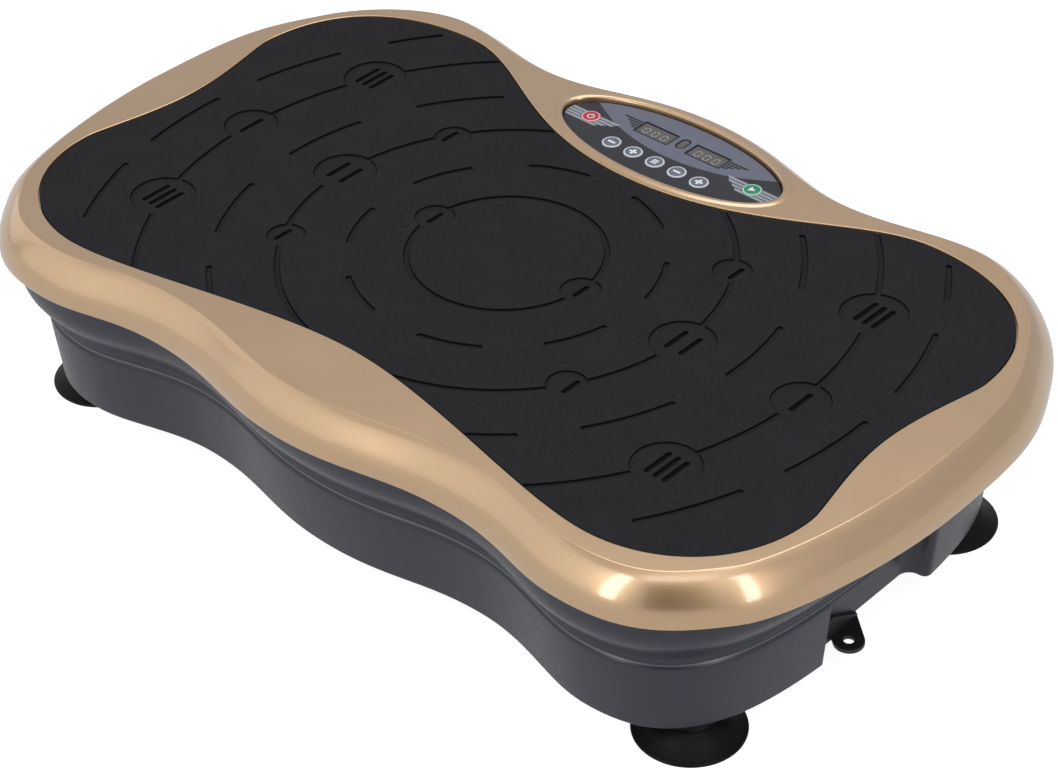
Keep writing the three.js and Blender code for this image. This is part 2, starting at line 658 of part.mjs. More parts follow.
function powerInlet() {
  const half = SOCKET.halfHeight - GAP;
  const [x0, x1] = [SOCKET.x0 + GAP, SOCKET.x1 - GAP];
  const wall = 2.2;
  const body = panelBox(x0, x1, -15, 2.5, half);
  const cavity = panelBox(x0 + wall, x1 - wall, -12, 5, half - wall);
  const middle = (x0 + x1) / 2;
  const blades = [[-7, -1.5], [0, 2.5], [7, -1.5]].map(([dx, dz]) => box(
    middle + dx - 1, middle + dx + 1, FACE - 13, FACE - 1, INLET_Z + dz - 2, INLET_Z + dz + 2,
  ));
  return join(cut(body, cavity), ...blades);
}

function switchFrame() {
  const half = SWITCH.halfHeight - GAP;
  return cut(
    panelBox(SWITCH.x0 + GAP, SWITCH.x1 - GAP, -9, 3.2, half),
    panelBox(SWITCH.x0 + 2, SWITCH.x1 - 2, -12, 5, half - 1.8),
  );
}

function powerRocker() {
  const profile = polygon([
    [-6.6, -4], [6.6, -4], [7, 5.2], [0, 3.6], [-7, 5.2],
  ].map(([along, out]) => [out, along]));
  const width = SWITCH.x1 - SWITCH.x0 - 4.8;
  const rocker = new THREE.ExtrudeGeometry(profile, { depth: width, bevelEnabled: false });
  // The shape's plane (out, along) becomes (y, z), and its depth runs along x.
  rocker.applyMatrix4(new THREE.Matrix4().set(0, 0, 1, 0, 1, 0, 0, 0, 0, 1, 0, 0, 0, 0, 0, 1));
  rocker.translate(-width / 2, 0, 0).rotateX(ROCKER_REST);
  return rocker.translate((SWITCH.x0 + SWITCH.x1) / 2, ROCKER_PIVOT.y, ROCKER_PIVOT.z);
}

function fuseHolder() {
  const r = FUSE.r - GAP;
  const body = turnedY([
    [0, FACE - 16], [r, FACE - 16], [r, FACE + 2.8], [r + 1.3, FACE + 2.8],
    [r + 1.3, FACE + 4.6], [r + 0.6, FACE + 5.2], [0, FACE + 5.2],
  ], FUSE.x, INLET_Z, SMALL_ROUND);
  return cut(body, box(FUSE.x - 5, FUSE.x + 5, FACE + 4, FACE + 6, INLET_Z - 0.7, INLET_Z + 0.7));
}

// ---- the scene graph ------------------------------------------------------------
const plateGroup = new THREE.Group();

function add(name, geometry, look) {
  const mesh = new THREE.Mesh(closed(geometry), new THREE.MeshStandardMaterial(look));
  mesh.name = name;
  plateGroup.add(mesh);
}

add('top_cover', topCover(), GOLD);
add('standing_mat', standingMat(), RUBBER);
add('deck_frame', deckFrame(), BLACK_STEEL);
add('pivot_shaft', rodY(PIVOT_R, -118, 118, 0, PIVOT_Z), STEEL);
add('rod_pin', rodY(ROD_PIN_R, -16, 16, CRANK_X, ROD_PIN_Z), STEEL);
add('panel_plate', panelPlate(), PANEL_FILM);
add('panel_tray', panelTray(), BLACK_PLASTIC);
add('display_board', displayBoard(), BOARD);
add('time_display', displayWindow(-1, 0, BOARD_TOP + GAP, PANEL_TOP - 0.3), DISPLAY_GLASS);
add('speed_display', displayWindow(1, 0, BOARD_TOP + GAP, PANEL_TOP - 0.3), DISPLAY_GLASS);
add('receiver_lens', lensWindow(0, BOARD_TOP + GAP, PANEL_TOP - 0.2), DISPLAY_GLASS);
for (const [name, place] of Object.entries(KEYS)) {
  const look = { power: KEY_RED, start: KEY_GREEN }[name] ?? KEY_GREY;
  add(`key_${name}`, panelKey(place), look);
}

add('base_housing', baseHousing(), GREY_PLASTIC);
add('chassis_plate', chassisPlate(), STEEL);
for (const place of footPlaces) {
  add(`suction_foot_${place.name}`, suctionFoot(place), RUBBER);
  add(`foot_stud_${place.name}`, footStud(place), STEEL);
  add(`stop_buffer_${place.name}`, stopBuffer(place), RUBBER);
}
for (const [name, side] of [['left', -1], ['right', 1]]) {
  add(`band_bracket_${name}`, bandBracket(side), BLACK_STEEL);
}
for (const [name, side] of [['front', -1], ['back', 1]]) {
  add(`pivot_block_${name}`, pivotBlock(side), ALUMINIUM);
  add(`pivot_bush_${name}`, pivotBush(side), BRONZE);
  add(`shaft_block_${name}`, shaftBlock(side), ALUMINIUM);
  add(`shaft_bearing_${name}`, shaftBearing(side), STEEL);
}
add('crank_shaft', crankShaft(), STEEL);
add('eccentric_disc', eccentricDisc(), STEEL);
add('driven_pulley', pulley(DRIVEN_R, SHAFT_R + GAP, DRIVEN_R + 2.6, CRANK_X), ALUMINIUM);
add('connecting_rod', connectingRod(), STEEL);
add('rod_bearing', rodBearing(), STEEL);
add('motor_housing', motorHousing(), BLACK_STEEL);
add('motor_rotor', motorRotor(), STEEL);
add('motor_pulley', pulley(DRIVER_R, MOTOR_SHAFT_R + GAP, DRIVER_R + 3, MOTOR_X), ALUMINIUM);
add('motor_bracket', motorBracket(), STEEL);
add('drive_belt', driveBelt(), RUBBER);
add('control_board', controlBoard(), BOARD);
add('power_plate', powerPlate(), BLACK_PLASTIC);
add('power_inlet', powerInlet(), BLACK_PLASTIC);
add('switch_frame', switchFrame(), BLACK_PLASTIC);
add('power_rocker', powerRocker(), BLACK_PLASTIC);
add('fuse_holder', fuseHolder(), BLACK_PLASTIC);

// The ring centre sits in front of the middle, because the back edge bulges further.
plateGroup.position.y = (LIP_FRONT - LIP_BACK) / 2;

const object = new THREE.Group();
object.add(plateGroup);
export default object;
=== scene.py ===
"""Vibration plate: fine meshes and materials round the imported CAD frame.

Outlines and sections are in millimetres about the ring centre of the mat, and become metres in the
frame when a piece is made. The ring centre and the places of the keys and feet come from the frame.
"""

import math
from functools import partial

import bmesh
import bpy
from mathutils import Matrix, Vector
from mathutils.geometry import delaunay_2d_cdt


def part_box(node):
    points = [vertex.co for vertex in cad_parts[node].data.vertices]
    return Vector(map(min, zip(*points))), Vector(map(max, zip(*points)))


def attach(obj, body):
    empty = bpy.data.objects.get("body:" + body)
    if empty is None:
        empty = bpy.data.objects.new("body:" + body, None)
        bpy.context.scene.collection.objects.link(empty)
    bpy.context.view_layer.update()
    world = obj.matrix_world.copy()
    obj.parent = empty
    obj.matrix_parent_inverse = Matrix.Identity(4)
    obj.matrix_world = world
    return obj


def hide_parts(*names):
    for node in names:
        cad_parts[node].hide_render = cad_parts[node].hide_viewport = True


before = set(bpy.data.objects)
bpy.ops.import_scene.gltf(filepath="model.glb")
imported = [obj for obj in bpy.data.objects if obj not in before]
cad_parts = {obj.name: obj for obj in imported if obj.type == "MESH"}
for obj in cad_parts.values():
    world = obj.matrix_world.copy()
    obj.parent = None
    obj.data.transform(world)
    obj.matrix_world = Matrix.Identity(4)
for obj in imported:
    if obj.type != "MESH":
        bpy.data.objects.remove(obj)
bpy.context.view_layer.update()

MM = 0.001
WELD = 2e-6  # vertices closer than this, in metres, become one


def node_centre(node):
    """The middle of a CAD node's box, in metres."""
    low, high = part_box(node)
    return (low + high) / 2


RING_Y = node_centre("pivot_shaft").y / MM  # the ring centre in the frame, mm

# ---- driving dimensions, mm ----
DECK_TOP = 149.0
LIP_BOTTOM = 120.5
CREASE = -15.5  # offset of the crease between the deck's side and its flat top
MAT_MARGIN = 5.0  # flat gold left between the crease and the mat where they come close
COVER_UNDERSIDE = 142.0
MAT_FLOOR = 145.0
MAT_TOP = 148.4
PANEL_Y = 155.0
PANEL_A = 88.0
PANEL_B = 35.0
PANEL_TOP = 146.0
BASE_BOTTOM = 20.5
BASE_WALL = 3.0
BASE_CENTRE_Y = -4.0
FOOT_R = 34.0
LEDGE = 72.0
NOTCH_X = 278.5
NOTCH_HALF = 50.0
NOTCH_TOP = 70.0
NOTCH_FILLET = 13.0
OUTLINE_STEPS = 360  # points round a full outline
CURVE_STEPS = 60  # points along each curve between two nodes

# Half outlines from the front centre round the right end to the back centre. A node is
# (x, y, direction of travel in degrees, handle before it, handle after it).
MAT_NODES = [
    (0, -133, 0, 0, 68), (211, -167.2, 0, 49, 46), (299, -80, 90, 54, 11), (287, 0, 90, 34, 34),
    (299, 80, 90, 11, 56), (195, 173.5, 180, 67, 52), (0, 110.5, 180, 97, 0),
]
SHELL_NODES = [
    (0, -197, 0, 0, 50), (121, -181, 0, 50, 45), (215, -195, 0, 34, 48), (305, -147, 52, 39, 27),
    (337, 0, 90, 53, 81), (308, 139, 118, 49, 36), (215, 202.5, 180, 38, 33),
    (125, 190, 180, 32, 39), (0, 213, 180, 60, 0),
]
BASE_FRONT_NODES = [
    (0, -162.5, 0, 0, 51), (117, -147, 0, 47, 38), (210, -164.3, 0, 28, 70), (294.5, 0, 90, 112, 112),
]
BASE_NODES = BASE_FRONT_NODES + [
    (x, -y, 180, after, before) for x, y, _, before, after in reversed(BASE_FRONT_NODES[:-1])
]


# ---- outlines ----
def bezier(p0, p1, p2, p3, t):
    """A point on the cubic curve from p0 to p3."""
    s = 1 - t
    weights = (s**3, 3 * s * s * t, 3 * s * t * t, t**3)
    return tuple(sum(w * p[i] for w, p in zip(weights, (p0, p1, p2, p3))) for i in (0, 1))


def resample(points, steps):
    """The open polyline as steps equal lengths, so steps + 1 points."""
    lengths = [0.0]
    for a, b in zip(points, points[1:]):
        lengths.append(lengths[-1] + math.dist(a, b))
    out, at = [], 0
    for k in range(steps + 1):
        target = lengths[-1] * k / steps
        while at < len(points) - 2 and lengths[at + 1] < target:
            at += 1
        span = max(lengths[at + 1] - lengths[at], 1e-9)
        u = (target - lengths[at]) / span
        a, b = points[at], points[at + 1]
        out.append((a[0] + (b[0] - a[0]) * u, a[1] + (b[1] - a[1]) * u))
    return out


def half_outline(nodes, centre_y=0.0):
    """The right half of an outline, from front centre to back centre, finely stepped."""
    points = []
    for (x0, y0, d0, _, h0), (x1, y1, d1, h1, _) in zip(nodes, nodes[1:]):
        a0, a1 = math.radians(d0), math.radians(d1)
        out = (x0 + h0 * math.cos(a0), y0 + h0 * math.sin(a0))
        back = (x1 - h1 * math.cos(a1), y1 - h1 * math.sin(a1))
        for k in range(CURVE_STEPS):
            points.append(bezier((x0, y0), out, back, (x1, y1), k / CURVE_STEPS))
    points.append(nodes[-1][:2])
    return [(x, y + centre_y) for x, y in points]


def mirrored(right):
    """A closed loop from its right half, which starts and ends on the centre line."""
    return list(right) + [(-x, y) for x, y in reversed(right[1:-1])]


def outline(nodes, centre_y=0.0):
    """A closed outline with evenly stepped points."""
    return mirrored(resample(half_outline(nodes, centre_y), OUTLINE_STEPS // 2))


def offset(points, distance, scales=None):
    """A closed anticlockwise loop moved outwards by a distance, which each point may scale."""
    count = len(points)
    moved = []
    for i, (x, y) in enumerate(points):
        ax, ay = points[i - 1]
        bx, by = points[(i + 1) % count]
        length = math.hypot(bx - ax, by - ay) or 1.0
        reach = distance * (scales[i] if scales else 1.0) / length
        moved.append((x + (by - ay) * reach, y - (bx - ax) * reach))
    return moved


def ellipse(a, b, x=0.0, y=0.0, steps=160):
    angles = (2 * math.pi * k / steps for k in range(steps))
    return [(x + a * math.cos(t), y + b * math.sin(t)) for t in angles]


def arc(x, y, r, start, end, steps):
    """Points on an arc between two angles in degrees, both ends included."""
    angles = (math.radians(start + (end - start) * k / steps) for k in range(steps + 1))
    return [(x + r * math.cos(t), y + r * math.sin(t)) for t in angles]


def rounded_rectangle(x0, x1, y0, y1, r, steps=6):
    corners = [(x1 - r, y0 + r, -90), (x1 - r, y1 - r, 0), (x0 + r, y1 - r, 90), (x0 + r, y0 + r, 180)]
    return [p for x, y, a in corners for p in arc(x, y, r, a, a + 90, steps)]


def rounded_corner(a, corner, b, steps):
    """A short curve from a to b that bends towards the corner."""
    return [tuple(a[k] * (1 - t) ** 2 + 2 * corner[k] * t * (1 - t) + b[k] * t * t for k in (0, 1))
            for t in (s / steps for s in range(steps + 1))]


def rounded(points, radius, steps=4):
    """An open profile with its inner corners rounded by short curves."""
    longest = 0.45  # the most of a side that one corner's curve takes
    out = [points[0]]
    for before, corner, after in zip(points, points[1:], points[2:]):
        ends = []
        for other in (before, after):
            length = math.dist(other, corner)
            reach = min(radius, length * longest)
            ends.append([corner[i] + (other[i] - corner[i]) * reach / length for i in (0, 1)])
        out += rounded_corner(ends[0], corner, ends[1], steps)
    out.append(points[-1])
    return out


def inside(point, polygon):
    """Whether a point lies inside a closed polygon."""
    x, y = point[0], point[1]
    hit = False
    for (ax, ay), (bx, by) in zip(polygon, polygon[1:] + polygon[:1]):
        if (ay > y) != (by > y) and x < (bx - ax) * (y - ay) / (by - ay) + ax:
            hit = not hit
    return hit


mat_outline = outline(MAT_NODES)
shell_outline = outline(SHELL_NODES)


def side_scales():
    """The share of the crease's offset at each point, less where the mat comes near the edge."""
    clear = MAT_MARGIN - CREASE
    scales = []
    for p in shell_outline:
        room = min(math.dist(p, q) for q in mat_outline)
        scales.append(min(1.0, 1.0 + (room - clear) / -CREASE))
    count, reach = len(scales), 6
    return [sum(scales[(i + k) % count] for k in range(-reach, reach + 1)) / (2 * reach + 1)
            for i in range(count)]


# ---- meshes ----
class Skin:
    """Faces between loops of points. A loop is the list of its vertices' numbers."""

    def __init__(self):
        self.verts = []
        self.faces = []
        self.inks = {}  # number of a face: number of its material

    def loop(self, points, z):
        """Adds vertices at one height and returns the loop."""
        first = len(self.verts)
        self.verts += [(x, y, z) for x, y in points]
        return list(range(first, len(self.verts)))

    def strip(self, a, b):
        """A band of faces between two loops of the same length."""
        for i, _ in enumerate(a):
            j = (i + 1) % len(a)
            self.faces.append((a[i], a[j], b[j], b[i]))

    def cap(self, outer, holes=(), prints=()):
        """Triangles that fill a flat loop, leaving out the loops inside it.

        Prints are (outline, material number) areas inside the loop, and the last one lies on top.
        """
        rings = [outer, *holes]
        numbers = [n for ring in rings for n in ring]
        flat = [Vector(self.verts[n][:2]) for n in numbers]
        height = self.verts[outer[0]][2]
        faces, start = [], 0
        for ring in rings:
            faces.append(list(range(start, start + len(ring))))
            start += len(ring)
        edges = []
        for print_outline, _ in prints:
            first, count = len(flat), len(print_outline)
            flat += [Vector(p) for p in print_outline]
            edges += [(first + i, first + (i + 1) % count) for i in range(count)]
        points, _, triangles, origin, _, owners = delaunay_2d_cdt(flat, edges, faces, 1, 1e-7)
        placed = []
        for point, sources in zip(points, origin):
            known = [k for k in sources if k < len(numbers)]
            if known:
                placed.append(numbers[known[0]])
            else:
                placed.append(len(self.verts))
                self.verts.append((point.x, point.y, height))
        for triangle, owner in zip(triangles, owners):
            if list(owner) != [0]:
                continue
            middle = sum((points[v] for v in triangle), Vector((0, 0))) / 3
            for print_outline, ink in prints:
                if inside(middle, print_outline):
                    self.inks[len(self.faces)] = ink
            self.faces.append([placed[v] for v in triangle])

    def skinned(self, rings):
        """Loops at (points, height) joined in order; returns the first and last loop."""
        loops = [self.loop(points, z) for points, z in rings]
        for a, b in zip(loops, loops[1:]):
            self.strip(a, b)
        return loops[0], loops[-1]

    def add(self, other):
        start = len(self.verts)
        self.verts += other.verts
        self.inks.update({len(self.faces) + f: ink for f, ink in other.inks.items()})
        self.faces += [[start + n for n in face] for face in other.faces]
        return self

    def moved(self, place):
        """The same faces with every vertex put through a function of (x, y, z)."""
        self.verts = [place(*v) for v in self.verts]
        return self

    def shifted(self, x, y, z):
        return self.moved(lambda a, b, c: (a + x, b + y, c + z))

    def inked(self, ink):
        """All faces in one material."""
        self.inks = {f: ink for f, _ in enumerate(self.faces)}
        return self


def about_ring(x=0.0, y=0.0, z=0.0):
    """From millimetres about the ring centre to metres in the frame."""
    return Matrix.Translation((x * MM, (y + RING_Y) * MM, z * MM))


def make(name, skin, materials, body, replaces=(), sharp=32.0, transform=None):
    """A smooth-shaded piece from a skin, riding on its body. Edges over the sharp angle stay sharp."""
    mesh = bpy.data.meshes.new(name)
    mesh.from_pydata([(x * MM, y * MM, z * MM) for x, y, z in skin.verts], [], skin.faces)
    for material in materials:
        mesh.materials.append(material)
    for face, number in skin.inks.items():
        mesh.polygons[face].material_index = number
    mesh.transform(about_ring() if transform is None else transform)
    edit = bmesh.new()
    edit.from_mesh(mesh)
    bmesh.ops.remove_doubles(edit, verts=edit.verts, dist=WELD)
    bmesh.ops.recalc_face_normals(edit, faces=edit.faces)
    edit.to_mesh(mesh)
    edit.free()
    mesh.polygons.foreach_set("use_smooth", [True] * len(mesh.polygons))
    mesh.set_sharp_from_angle(angle=math.radians(sharp))
    piece = bpy.data.objects.new(name, mesh)
    bpy.context.scene.collection.objects.link(piece)
    weighted = piece.modifiers.new("weighted_normals", "WEIGHTED_NORMAL")
    weighted.keep_sharp = True
    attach(piece, body)
    if replaces:
        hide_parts(*replaces)


def slab(outer, holes, z0, z1, bevel):
    """A plate with rounded edges, and with holes through it, standing on z0."""
    skin = Skin()
    sections = [(z0, -bevel), (z0 + bevel * 0.3, -bevel * 0.3), (z0 + bevel, 0.0),
                (z1 - bevel, 0.0), (z1 - bevel * 0.3, -bevel * 0.3), (z1, -bevel)]
    bottom, top = skin.skinned([(offset(outer, d), z) for z, d in sections])
    ends = [skin.skinned([(offset(hole, -d), z) for z, d in sections]) for hole in holes]
    skin.cap(bottom, [e[0] for e in ends])
    skin.cap(top, [e[1] for e in ends])
    return skin


def lathe(profile, segments=72):
    """A turned solid about Z from (radius, height) points that start and end on the axis."""
    skin = Skin()
    loops = []
    for r, z in profile:
        if r < 1e-6:
            skin.verts.append((0.0, 0.0, z))
            loops.append([len(skin.verts) - 1])
        else:
            loops.append(skin.loop(ellipse(r, r, steps=segments), z))
    for a, b in zip(loops, loops[1:]):
        if len(a) == 1:
            skin.faces += [(a[0], b[i], b[(i + 1) % segments]) for i in range(segments)]
        elif len(b) == 1:
            skin.faces += [(a[i], a[(i + 1) % segments], b[0]) for i in range(segments)]
        else:
            skin.strip(a, b)
    return skin


# ---- materials ----
class Nodes:
    """A material's node tree with short ways to add and link nodes."""

    def __init__(self, name, color, roughness, **inputs):
        self.material = bpy.data.materials.new(name)
        self.material.use_nodes = True
        self.tree = self.material.node_tree
        self.shader = self.tree.nodes["Principled BSDF"]
        self.set(self.shader, Base_Color=(*color, 1.0), Roughness=roughness, **inputs)
        self.material.diffuse_color = (*color, 1.0)
        self.link = self.tree.links.new
        self.place = self.add("TexCoord").outputs["Object"]
        self.bumped = None

    def set(self, node, **inputs):
        for key, value in inputs.items():
            node.inputs[key.replace("_", " ")].default_value = value

    def add(self, kind, **inputs):
        node = self.tree.nodes.new("ShaderNode" + kind)
        self.set(node, **inputs)
        return node

    def noise(self, size_mm, detail=3.0, stretch=(1, 1, 1)):
        mapping = self.add("Mapping", Scale=stretch)
        texture = self.add("TexNoise", Scale=1 / (size_mm * MM), Detail=detail)
        self.link(self.place, mapping.inputs["Vector"])
        self.link(mapping.outputs["Vector"], texture.inputs["Vector"])
        return texture.outputs["Fac"]

    def cells(self, size_mm):
        texture = self.add("TexVoronoi", Scale=1 / (size_mm * MM))
        self.link(self.place, texture.inputs["Vector"])
        return texture.outputs["Distance"]

    def spread(self, value, low, high):
        """The middle of a noise's range stretched to low..high."""
        ramp = self.add("MapRange", From_Min=0.3, From_Max=0.7, To_Min=low, To_Max=high)
        self.link(value, ramp.inputs["Value"])
        return ramp.outputs["Result"]

    def vary_color(self, value, dark, light):
        mix = self.add("Mix")
        mix.data_type = "RGBA"
        self.set(mix, A=(*dark, 1.0), B=(*light, 1.0))
        self.link(self.spread(value, 0.0, 1.0), mix.inputs["Factor"])
        self.link(mix.outputs["Result"], self.shader.inputs["Base Color"])

    def vary_roughness(self, value, low, high):
        self.link(self.spread(value, low, high), self.shader.inputs["Roughness"])

    def bump(self, value, strength, distance_mm):
        node = self.add("Bump", Strength=strength, Distance=distance_mm * MM)
        self.link(value, node.inputs["Height"])
        if self.bumped is not None:
            self.link(self.bumped, node.inputs["Normal"])
        self.link(node.outputs["Normal"], self.shader.inputs["Normal"])
        self.bumped = node.outputs["Normal"]


def scaled(color, factor):
    return tuple(c * factor for c in color)


def gold_paint():
    """Champagne metallic paint under a clear coat."""
    color = (0.560, 0.365, 0.200)
    nodes = Nodes("champagne_paint", color, 0.33, Metallic=0.85, Coat_Weight=1.0, Coat_Roughness=0.10,
                  Coat_IOR=1.75)
    nodes.vary_color(nodes.noise(0.5, 2), scaled(color, 0.95), scaled(color, 1.05))
    nodes.vary_roughness(nodes.noise(40, 3), 0.31, 0.36)
    nodes.bump(nodes.noise(1.6, 2), 0.12, 0.02)
    return nodes.material


def mat_rubber(name, color, gloss):
    """Matt rubber with a fine pebbled grain."""
    nodes = Nodes(name, color, 0.8, Specular_IOR_Level=gloss)
    nodes.vary_color(nodes.noise(30, 4), scaled(color, 0.9), scaled(color, 1.12))
    nodes.vary_roughness(nodes.noise(3, 3), 0.72, 0.88)
    nodes.bump(nodes.noise(0.8, 4), 0.35, 0.06)
    nodes.bump(nodes.cells(1.4), 0.12, 0.05)
    return nodes.material


def moulded(name, color, roughness, size_mm=0.9, strength=0.25, **inputs):
    """Moulded plastic with a spark-eroded grain."""
    nodes = Nodes(name, color, roughness, **inputs)
    nodes.vary_color(nodes.noise(60, 4), scaled(color, 0.93), scaled(color, 1.07))
    nodes.vary_roughness(nodes.noise(size_mm * 3, 3), roughness - 0.05, roughness + 0.06)
    nodes.bump(nodes.noise(size_mm, 3), strength, 0.03)
    return nodes.material


def metal(name, color, roughness, stretch=(1, 1, 1), **inputs):
    """Machined or plated metal, with the grain drawn out along an axis."""
    nodes = Nodes(name, color, roughness, Metallic=1.0, **inputs)
    nodes.vary_color(nodes.noise(25, 4), scaled(color, 0.88), scaled(color, 1.08))
    nodes.vary_roughness(nodes.noise(1.2, 4, stretch), roughness - 0.07, roughness + 0.08)
    nodes.bump(nodes.noise(0.7, 3, stretch), 0.2, 0.02)
    return nodes.material


def ink(name, color, roughness=0.42):
    """A print or a smooth tinted plastic."""
    nodes = Nodes(name, color, roughness, Specular_IOR_Level=0.4)
    nodes.vary_color(nodes.noise(4, 3), scaled(color, 0.96), scaled(color, 1.04))
    nodes.bump(nodes.noise(0.8, 2), 0.05, 0.02)
    return nodes.material


GOLD = gold_paint()
MAT = mat_rubber("mat_rubber", (0.0105, 0.0102, 0.0125), 0.18)
# A darker copy of the mat's rubber on the walls of grooves and discs and on the floors of bars: painted
# shade.
MAT_GROOVE_SHADE = mat_rubber("mat_rubber_painted_groove_shade", (0.0035, 0.0034, 0.0042), 0.08)
GREY_PLASTIC = moulded("grey_abs", (0.0140, 0.0155, 0.0245), 0.33, Specular_IOR_Level=0.5)
# A lighter grey on the ledge's rounded edge: a painted highlight.
GREY_PAINTED_HIGHLIGHT = moulded("grey_abs_painted_highlight", (0.070, 0.073, 0.084), 0.30, 0.9, 0.08, Specular_IOR_Level=0.6)
BLACK_PLASTIC = moulded("black_plastic", (0.016, 0.016, 0.018), 0.45)
FOOT_RUBBER = moulded("foot_rubber", (0.003, 0.003, 0.0034), 0.42, 1.5, 0.15, Specular_IOR_Level=0.14)
BELT_RUBBER = moulded("belt_rubber", (0.014, 0.014, 0.014), 0.7, 0.6, 0.3)
POWDER_COAT = moulded("black_powder_coat", (0.011, 0.012, 0.014), 0.5, 0.7, 0.5)
STEEL = metal("plated_steel", (0.50, 0.51, 0.53), 0.34)
GROUND_STEEL = metal("ground_steel", (0.46, 0.46, 0.47), 0.24, (1, 12, 1))
ALUMINIUM = metal("cast_aluminium", (0.62, 0.63, 0.65), 0.45)
BRONZE = metal("sintered_bronze", (0.50, 0.31, 0.13), 0.42)
BOARD_GREEN = moulded("solder_mask", (0.02, 0.12, 0.05), 0.35, 2.0, 0.1)
FILM_BLUE = ink("film_blue_grey", (0.112, 0.118, 0.160))
FILM_DARK = ink("film_charcoal", (0.018, 0.018, 0.023))
FILM_BLACK = ink("film_black", (0.010, 0.010, 0.013))
FILM_STRIPE = ink("film_stripe", (0.25, 0.27, 0.31))
FILM_WHITE = ink("film_white", (0.62, 0.64, 0.68))
KEY_GREY = ink("key_grey", (0.115, 0.122, 0.150))
KEY_LIGHT = ink("key_light", (0.50, 0.52, 0.57))
KEY_RED = ink("key_red", (0.36, 0.018, 0.035))
KEY_GREEN = ink("key_green", (0.020, 0.19, 0.105))
GLASS = ink("smoked_window", (0.092, 0.086, 0.084), 0.2)
SEGMENT = ink("display_segment", (0.30, 0.29, 0.28), 0.3)
FILM_FRAME = ink("film_frame", (0.014, 0.014, 0.020), 0.3)
KEY_PINK = ink("key_pink", (0.62, 0.30, 0.32))
KEY_MINT = ink("key_mint", (0.30, 0.55, 0.42))
ROCKER_RED = moulded("rocker_red", (0.35, 0.02, 0.02), 0.3)


# ---- deck ----
def shell_side():
    """The deck's outer section from its crease to its lower edge, as (offset, height)."""
    slope = math.radians(-28)
    top_handle, side_handle, steps = 9, 10, 16
    start, end = (CREASE, DECK_TOP), (0.0, LIP_BOTTOM + 3.5)
    first = (start[0] + top_handle * math.cos(slope), start[1] + top_handle * math.sin(slope))
    last = (0.0, end[1] + side_handle)
    curve = [bezier(start, first, last, end, k / steps) for k in range(1, steps + 1)]
    crease = [(CREASE - 0.5, DECK_TOP), (CREASE - 0.05, DECK_TOP - 0.03), (CREASE + 0.4, DECK_TOP - 0.22)]
    edge = [(0.0, LIP_BOTTOM + 0.9), (-0.25, LIP_BOTTOM + 0.3), (-0.8, LIP_BOTTOM)]
    return crease + curve[1:] + edge


def top_cover():
    """The gold shell, with the mat's recess and the raised rim round the panel's hole."""
    skin = Skin()
    scales = side_scales()
    rings = [(offset(shell_outline, d, scales), z) for d, z in shell_side()]
    inner = [(-2.2, LIP_BOTTOM), (-2.9, LIP_BOTTOM + 0.6), (-3.6, 130), (-6.5, 137), (-12, COVER_UNDERSIDE)]
    rings += [(offset(shell_outline, d), z) for d, z in inner]
    top, underside = skin.skinned(rings)
    recess_section = [(1.1, DECK_TOP), (0.8, DECK_TOP - 0.08), (0.58, DECK_TOP - 0.3), (0.5, DECK_TOP - 0.7),
                      (0.5, MAT_FLOOR)]
    recess, recess_floor = skin.skinned([(offset(mat_outline, d), z) for d, z in recess_section])
    rim_section = [(6.6, 0.0), (6.2, 0.04), (5.4, 0.28), (4.4, 0.62), (3.4, 0.8), (2.4, 0.78),
                   (1.3, 0.55), (0.5, 0.1), (0.1, -0.5), (0.0, -1.2), (0.0, COVER_UNDERSIDE - DECK_TOP)]
    panel = [(ellipse(PANEL_A + d, PANEL_B + d, 0, PANEL_Y), DECK_TOP + rise) for d, rise in rim_section]
    rim, hole = skin.skinned(panel)
    skin.cap(top, [recess, rim])
    skin.cap(recess_floor)
    skin.cap(underside, [hole])
    make("deck_shell", skin, [GOLD], "deck", ["top_cover"])


GROOVE_DEPTH = 1.4
GROOVE_HALF = 2.0
DISC_DEPTH = 1.2
BAR_HALF = 1.8
# Discs of the mat's right half: place, radius, the places of their bars and the bars' length.
DISCS = [(61, 0, 13, (61,), 14), (141, 0, 20.5, (136, 147), 21), (229, 0, 18, (229,), 21),
         (117, 75, 12.5, (120,), 15), (117, -75, 12.5, (120,), 15),
         (209, 95, 21, (203, 209.5, 216), 23), (209, -95, 21, (203, 209.5, 216), 23)]
INNER_RING = (61.6, [(12.3, 167.7), (192.3, 347.7)])  # broken by the two middle discs
# The other rings by radius: the arcs of the mat's right half, between angles in degrees.
RINGS = {
    140.8: [(8.5, 27.5), (38, 90), (-27.5, -8.5), (-90, -38)],
    228.2: [(4.7, 19), (29.8, 60), (-19, -4.7), (-60, -29.8)],
    98.7: [(11.5, 33.5), (56.5, 78.5), (-33.5, -11.5), (-78.5, -56.5)],
    182.3: [(28.6, 46.1), (-2.5, 15), (-33.3, -15.9), (-54.5, -45.7)],
    269.0: [(29.9, 37.4), (9, 22), (-11.9, 1.5), (-32.1, -18.7)],
}


def groove_arcs():
    """Every groove of the mat as (radius, first angle, last angle) in degrees."""
    inner_radius, spans = INNER_RING
    arcs = [(inner_radius, *span) for span in spans]
    for radius, right_half in RINGS.items():
        for a, b in right_half:
            arcs.append((radius, a, b))
            arcs.append((radius, 180 - b, 180 - a))
    return arcs


def groove(radius, start, end, inset):
    """The outline of a groove along an arc, with round ends."""
    half = GROOVE_HALF - inset
    steps = max(6, int(abs(end - start) * radius / 190))
    a, b = math.radians(start), math.radians(end)
    tip_a = (radius * math.cos(a), radius * math.sin(a))
    tip_b = (radius * math.cos(b), radius * math.sin(b))
    outer = arc(0, 0, radius + half, start, end, steps)
    inner = arc(0, 0, radius - half, end, start, steps)
    round_b = arc(*tip_b, half, end, end + 180, 8)[1:-1]
    round_a = arc(*tip_a, half, start + 180, start + 360, 8)[1:-1]
    return outer + round_b + inner + round_a


def disc(x, y, r, inset):
    return ellipse(r - inset, r - inset, x, y, 72)


